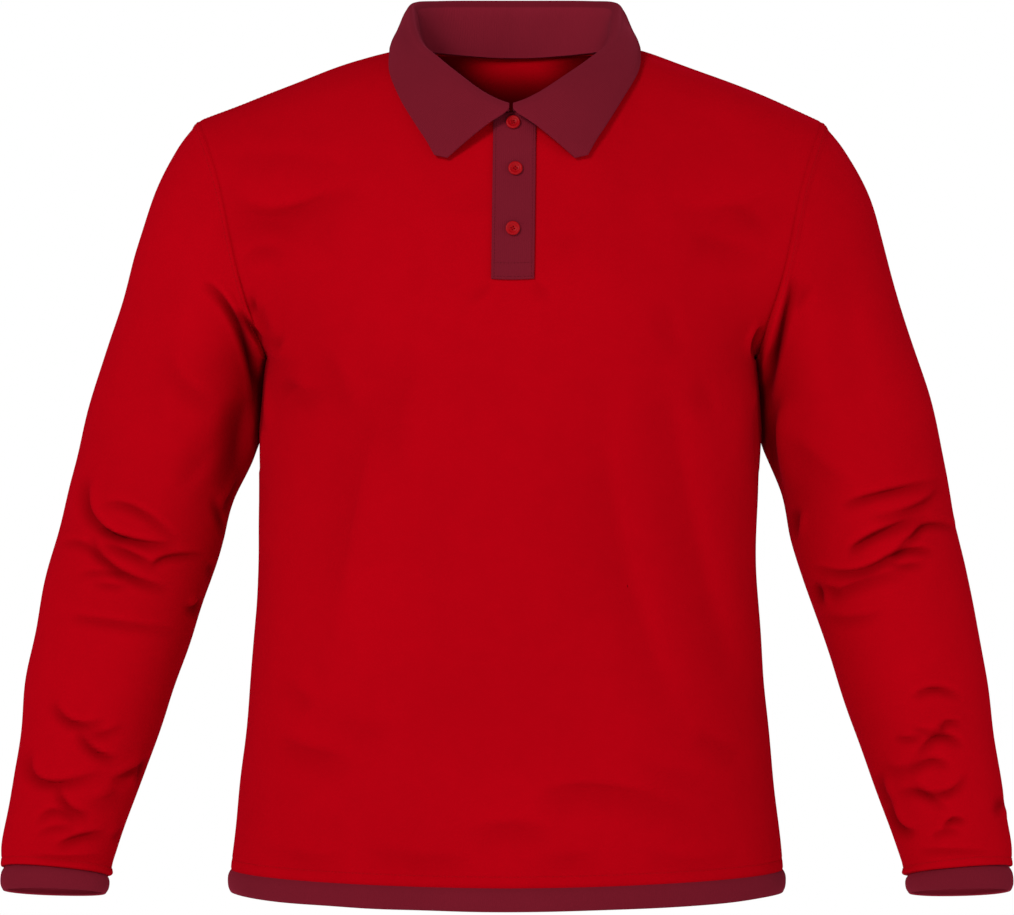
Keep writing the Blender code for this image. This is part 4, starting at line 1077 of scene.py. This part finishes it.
def rowsAt(points, heights):
    tall = points[:, points.shape[1] // 2, 2]
    return np.interp(heights, tall, np.arange(len(tall)))


def onFront(panel, normals, xs, heights):
    shifts = np.interp(heights, heights[[0, -1]], [placket["shiftBelow"], placket["shiftAbove"]])
    lines = [acrossRow(panel, normals, row, xs, shift)
             for row, shift in zip(rowsAt(panel, heights), shifts)]
    return tuple(np.array(found) for found in zip(*lines))


front = pieces["front"]
placketTop = front["points"][-1, front["points"].shape[1] // 2, 2] - cloth["liftOff"]


def addStrip(name, top, bottom, lift):
    rows = int((top - bottom) / placket["rowStep"])
    heights = np.concatenate([[bottom, bottom + 0.0004, bottom + 0.001],
                              np.linspace(bottom + 0.003, top - 0.003, rows),
                              [top - 0.001, top - 0.0004, top]])
    wide = placket["halfWidth"]
    across = np.concatenate([[-wide, -wide + 0.0004, -wide + 0.001],
                             np.linspace(-wide + 0.0025, wide - 0.0025, 17),
                             [wide - 0.001, wide - 0.0004, wide]])
    points, normals = onFront(front["points"], front["normals"], across, heights)
    outer = points + normals * (lift + cloth["ribbedWall"])
    wall = addWall(name, outer, normals, cloth["ribbedWall"], 1, maroonRib,
                   freeEdges=["bottom", "top", "first", "last"],
                   seamShare=np.zeros(outer.shape[:2]))
    return outer, normals, wall


strip, stripNormals, made["placket"] = addStrip("placket_cloth", placketTop, placket["bottom"],
                                                cloth["liftOff"])
made["placket_under"] = addStrip("placket_under_cloth", placketTop, placket["bottom"] + 0.002,
                                 -cloth["wall"] - cloth["liftOff"] - cloth["ribbedWall"])[2]
print("placket made")


def onStrip(x, height):
    return acrossRow(strip, stripNormals, rowsAt(strip, height), x)


def circle(radius, z, steps, middle=(0.0, 0.0)):
    turns = [2 * math.pi * step / steps for step in range(steps)]
    return [(middle[0] + radius * math.cos(turn), middle[1] + radius * math.sin(turn), z)
            for turn in turns]


def ringFaces(first, second, steps):  # between two rings of points
    return [(first + step, second + step, second + (step + 1) % steps, first + (step + 1) % steps)
            for step in range(steps)]


def plainObject(name, points, faces, edges=()):
    mesh = bpy.data.meshes.new(name)
    mesh.from_pydata(points, edges, faces)
    made = bpy.data.objects.new(name, mesh)
    bpy.context.scene.collection.objects.link(made)
    return made


def holeCutter():
    steps = buttons["holeSteps"]
    points, faces = [], []
    for hole in range(4):
        turn = math.radians(45 + 90 * hole)
        middle = (buttons["holeOut"] * math.cos(turn), buttons["holeOut"] * math.sin(turn))
        start = len(points)
        for z in (-0.001, 0.004):  # past the button's back and face
            points += circle(buttons["holeRadius"], z, steps, middle)
        faces.append(tuple(start + step for step in reversed(range(steps))))
        faces.append(tuple(start + steps + step for step in range(steps)))
        faces += ringFaces(start + steps, start, steps)
    return plainObject("holes", points, faces)


def addButton(name, across, height, turnDegrees):
    steps = buttons["steps"]
    points = [point for x, z in buttons["profile"] for point in circle(x, z, steps)]
    faces = [face for ring in range(len(buttons["profile"]) - 1)
             for face in ringFaces(ring * steps, (ring + 1) * steps, steps)]
    disc = plainObject(name, points, faces)
    join = disc.modifiers.new("join", "WELD")
    join.merge_threshold = 0.00002
    cutter = holeCutter()
    cut = disc.modifiers.new("cut", "BOOLEAN")
    cut.operation = "DIFFERENCE"
    cut.solver = "EXACT"
    cut.object = cutter
    drilled = bpy.data.meshes.new_from_object(
        disc.evaluated_get(bpy.context.evaluated_depsgraph_get()))
    bpy.data.objects.remove(cutter)
    disc.modifiers.clear()
    disc.data = drilled

    place, normal = onStrip(across, height)
    place = Vector(place + normal * cloth["liftOff"])
    turned = (Vector(normal).to_track_quat("Z", "Y").to_matrix()
              @ Matrix.Rotation(math.radians(turnDegrees), 3, "Z"))

    def onDisc(x, y, z):
        return place + turned @ Vector((x, y, z))

    for vertex in drilled.vertices:
        vertex.co = onDisc(*vertex.co)
    drilled.shade_smooth()
    drilled.set_sharp_from_angle(angle=math.radians(40))
    drilled.materials.clear()
    drilled.materials.append(buttonRed)
    return disc, onDisc


# Rows of stitches
def stitchTree(name, material):
    tree = bpy.data.node_groups.new(name, "GeometryNodeTree")
    face = tree.interface
    face.new_socket("Geometry", in_out="INPUT", socket_type="NodeSocketGeometry")
    for label in ("Pitch", "Stitch length", "Thread thickness"):
        face.new_socket(label, in_out="INPUT", socket_type="NodeSocketFloat")
    face.new_socket("Geometry", in_out="OUTPUT", socket_type="NodeSocketGeometry")

    node = Nodes(tree).node
    given = node("NodeGroupInput").outputs
    path = node("GeometryNodeMeshToCurve", None, {"Mesh": given["Geometry"]})
    spaced = node("GeometryNodeResampleCurve", {"mode": "LENGTH"},
                  {"Curve": path.outputs[0], "Length": given["Pitch"]})
    along = node("GeometryNodeInputTangent").outputs[0]
    turned = node("FunctionNodeAlignEulerToVector", {"axis": "Z"}, {"Vector": along})
    bead = node("GeometryNodeMeshUVSphere", None, {"Segments": 6, "Rings": 4, "Radius": 0.5})
    size = node("ShaderNodeCombineXYZ", None, {0: given["Thread thickness"],
                                               1: given["Thread thickness"],
                                               2: given["Stitch length"]})
    placed = node("GeometryNodeInstanceOnPoints", None,
                  {"Points": spaced.outputs[0], "Instance": bead.outputs[0],
                   "Rotation": turned.outputs[0], "Scale": size.outputs[0]})
    real = node("GeometryNodeRealizeInstances", None, {0: placed.outputs[0]})
    coloured = node("GeometryNodeSetMaterial", None, {"Geometry": real.outputs[0],
                                                      "Material": material})
    node("NodeGroupOutput", None, {0: coloured.outputs[0]})
    return tree


def sewAlong(name, paths, stitch, material):
    points, edges = [], []
    for path, isLoop in paths:
        start = len(points)
        points += [tuple(point) for point in path]
        edges += [(start + i, start + i + 1) for i in range(len(path) - 1)]
        if isLoop:
            edges.append((len(points) - 1, start))
    thread = plainObject(name, points, [], edges)
    stitches = thread.modifiers.new("stitches", "NODES")
    stitches.node_group = stitchTree(name + "_tree", material)
    sizes = dict(zip(("Pitch", "Stitch length", "Thread thickness"), stitch))
    for item in stitches.node_group.interface.items_tree:
        if item.in_out == "INPUT" and item.name in sizes:
            stitches[item.identifier] = sizes[item.name]
    result = bpy.data.meshes.new_from_object(
        thread.evaluated_get(bpy.context.evaluated_depsgraph_get()))
    thread.modifiers.clear()
    thread.data = result
    result.shade_smooth()
    return thread


def lineAt(piece, edge, distance, lift):
    run = edgeDistances(piece["points"])[edge]
    step = -1 if edge == "top" else 1
    found = []
    for column in range(run.shape[1]):
        keys, points, normals = (grid[::step, column]
                                 for grid in (run, piece["points"], piece["normals"]))
        found.append(readOff(distance, keys, points) + readOff(distance, keys, normals) * lift)
    return np.array(found)


# pitch, length of a stitch and thickness of the thread
sewing = {"red": (0.0031, 0.0024, 0.00055), "maroon": (0.0026, 0.0020, 0.0005),
          "button": (0.0003, 0.0007, 0.0005), "lift": 0.0001, "armhole": 0.0055,
          "shoulder": 0.005}
redPaths = []
hemFront, hemBack = (lineAt(pieces[name], "bottom", body["stitchUp"], sewing["lift"])
                     for name in ("front", "back"))
redPaths.append((np.concatenate([hemFront, hemBack[-2:0:-1]]), True))
for name in ("left", "right"):
    arm = pieces["sleeve_" + name]
    redPaths.append((lineAt(arm, "top", sleeve["stitchUp"], sewing["lift"]), True))
    redPaths.append((lineAt(arm, "bottom", sewing["armhole"], sewing["lift"]), True))
topLine = lineAt(pieces["back"], "top", sewing["shoulder"], -sewing["lift"])
backMiddle = len(topLine) // 2
neckColumns = 5 * body["columnParts"]
redPaths.append((topLine[backMiddle + neckColumns + 3:-1], False))
redPaths.append((topLine[1:backMiddle - neckColumns - 2], False))
redStitches = sewAlong("stitches_red", redPaths, sewing["red"], redThread)

inset = placket["halfWidth"] - placket["stitchIn"]
bottom = placket["bottom"] + placket["stitchIn"]
boxTop = bottom + placket["boxHeight"]
sideHeights = np.linspace(bottom, placketTop - 0.002, 60)
left = [onStrip(-inset, height) for height in sideHeights]
right = [onStrip(inset, height) for height in sideHeights]
low = [onStrip(x, bottom) for x in np.linspace(-inset, inset, 14)]
high = [onStrip(x, boxTop) for x in np.linspace(-inset, inset, 14)]
maroonPaths = [([place + normal * sewing["lift"] for place, normal in line], False)
               for line in (left, right, low, high)]
maroonStitches = sewAlong("stitches_maroon", maroonPaths, sewing["maroon"], maroonThread)

threadPaths = []
for number, (across, height) in enumerate(buttons["places"], start=1):
    disc, onDisc = addButton(f"button_{number}_turned", across, height,
                             buttons["turn"][number - 1])
    made[f"button_{number}"] = disc
    out = buttons["holeOut"] * math.cos(math.radians(45))
    for sign, crossing in ((1, 0.0020), (-1, 0.0017)):  # one thread lies over the other
        stations = ((-1, 0.0008), (-0.8, 0.0015), (0, crossing), (0.8, 0.0015), (1, 0.0008))
        line = [onDisc(out * share, out * share * sign, z) for share, z in stations]
        threadPaths.append((line, False))
buttonThread = sewAlong("button_thread", threadPaths, sewing["button"], redThread)
print("stitches and buttons made")

# What each piece was cut from, and what it stands for
cuts = {  # flat width and length in metres, area where the cut isn't a rectangle, how it is held
    "front": ((0.62, 0.76), 0.385, "draped"), "back": ((0.62, 0.80), 0.40, "draped"),
    "sleeve_left": ((0.48, 0.66), 0.205, "draped"), "sleeve_right": ((0.48, 0.66), 0.205, "draped"),
    "hem_band": ((1.16, 0.021), None, "hung"), "collar": ((0.47, 0.115), 0.050, "folded"),
    "cuff_left": ((0.228, 0.0195), None, "hung"), "cuff_right": ((0.228, 0.0195), None, "hung"),
    "placket": ((0.034, 0.140), None, "laid"), "placket_under": ((0.034, 0.138), None, "laid")}
for name, wall in made.items():
    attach(wall, "root")
    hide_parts(name)
    if name.startswith("button"):
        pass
    elif wall.data.materials[0] == redKnit:
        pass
    else:
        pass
    name in cuts
for thread, slotName in ((redStitches, "red"), (maroonStitches, "maroon"), (buttonThread, "red")):
    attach(thread, "root")

# Studio
studio = {"floorHeight": -1.45, "floorRadius": 9.0, "floorSteps": 96,
          "ambient": 0.42, "above": 0.70,
          "key": {"place": (-1.8, -3.1, 1.5), "size": 1.0, "watts": 89},
          "fill": {"place": (3.2, -1.6, 0.2), "size": 2.2, "watts": 26},
          "low": {"place": (0.0, -2.2, -1.30), "size": 1.4, "watts": 8}}

floorFinish = Finish("pale_floor")
where = floorFinish.node("ShaderNodeTexCoord").outputs["Object"]
far = floorFinish.value(floorFinish.node("ShaderNodeVectorMath", {"operation": "LENGTH"},
                                         {0: where}).outputs["Value"])
glow = floorFinish.node("ShaderNodeEmission", None, {"Color": (1, 1, 1, 1), "Strength": 1.0})
fade = ((far - 1.0) / 2.5).math("SMOOTH_MIN", 1.0, 0.2, clamp=True) * 0.6 + 0.4
blended = floorFinish.node("ShaderNodeMixShader", None,
                           {0: fade, 1: floorFinish.shader.outputs[0], 2: glow.outputs[0]})
floorFinish.shader.inputs["Base Color"].default_value = (0.93, 0.93, 0.93, 1.0)
floorFinish.shader.inputs["Roughness"].default_value = 0.9
floorFinish.feed(floorFinish.tree.nodes["Material Output"].inputs["Surface"], blended.outputs[0])
floor = plainObject("studio_floor", circle(studio["floorRadius"], studio["floorHeight"],
                                           studio["floorSteps"]),
                    [tuple(range(studio["floorSteps"]))])
floor.data.materials.append(floorFinish.material)

world = bpy.data.worlds.new("studio")
bpy.context.scene.world = world
world.use_nodes = True
air = Nodes(world.node_tree)
white = (1, 1, 1, 1)
direction = air.node("ShaderNodeTexCoord").outputs["Generated"]
height = air.node("ShaderNodeSeparateXYZ", None, {0: direction}).outputs["Z"]
dimmer = air.node("ShaderNodeMapRange", None, {
    "Value": height, "From Min": -0.1, "From Max": 0.9, "To Min": studio["ambient"],
    "To Max": studio["ambient"] * studio["above"]})
sky = world.node_tree.nodes["Background"]
air.feed(sky.inputs["Color"], white)
air.feed(sky.inputs["Strength"], dimmer.outputs["Result"])
seen = air.node("ShaderNodeBackground", None, {"Color": white})
ray = air.node("ShaderNodeLightPath").outputs["Is Camera Ray"]
choose = air.node("ShaderNodeMixShader", None, {0: ray, 1: sky.outputs[0], 2: seen.outputs[0]})
air.feed(world.node_tree.nodes["World Output"].inputs[0], choose.outputs[0])

for name in ("key", "fill", "low"):
    spec = studio[name]
    lamp = bpy.data.lights.new(name, "AREA")
    lamp.energy = spec["watts"]
    lamp.size = spec["size"]
    light = bpy.data.objects.new(name, lamp)
    light.location = spec["place"]
    aim = Vector((0, 0, -0.35)) - Vector(spec["place"])
    light.rotation_euler = aim.to_track_quat("-Z", "Y").to_euler()
    bpy.context.scene.collection.objects.link(light)

view = bpy.data.cameras.new("camera")
view.sensor_width = 36.0
view.lens = 36.0 * eye["distance"] / (eye["pixelsWide"] * eye["pixel"])
camera = bpy.data.objects.new("camera", view)
camera.location = (eye["x"], -eye["distance"], eye["height"])
camera.rotation_euler = (math.pi / 2, 0.0, 0.0)
bpy.context.scene.collection.objects.link(camera)
bpy.context.scene.camera = camera
bpy.context.scene.view_settings.view_transform = "Standard"
print("studio made")
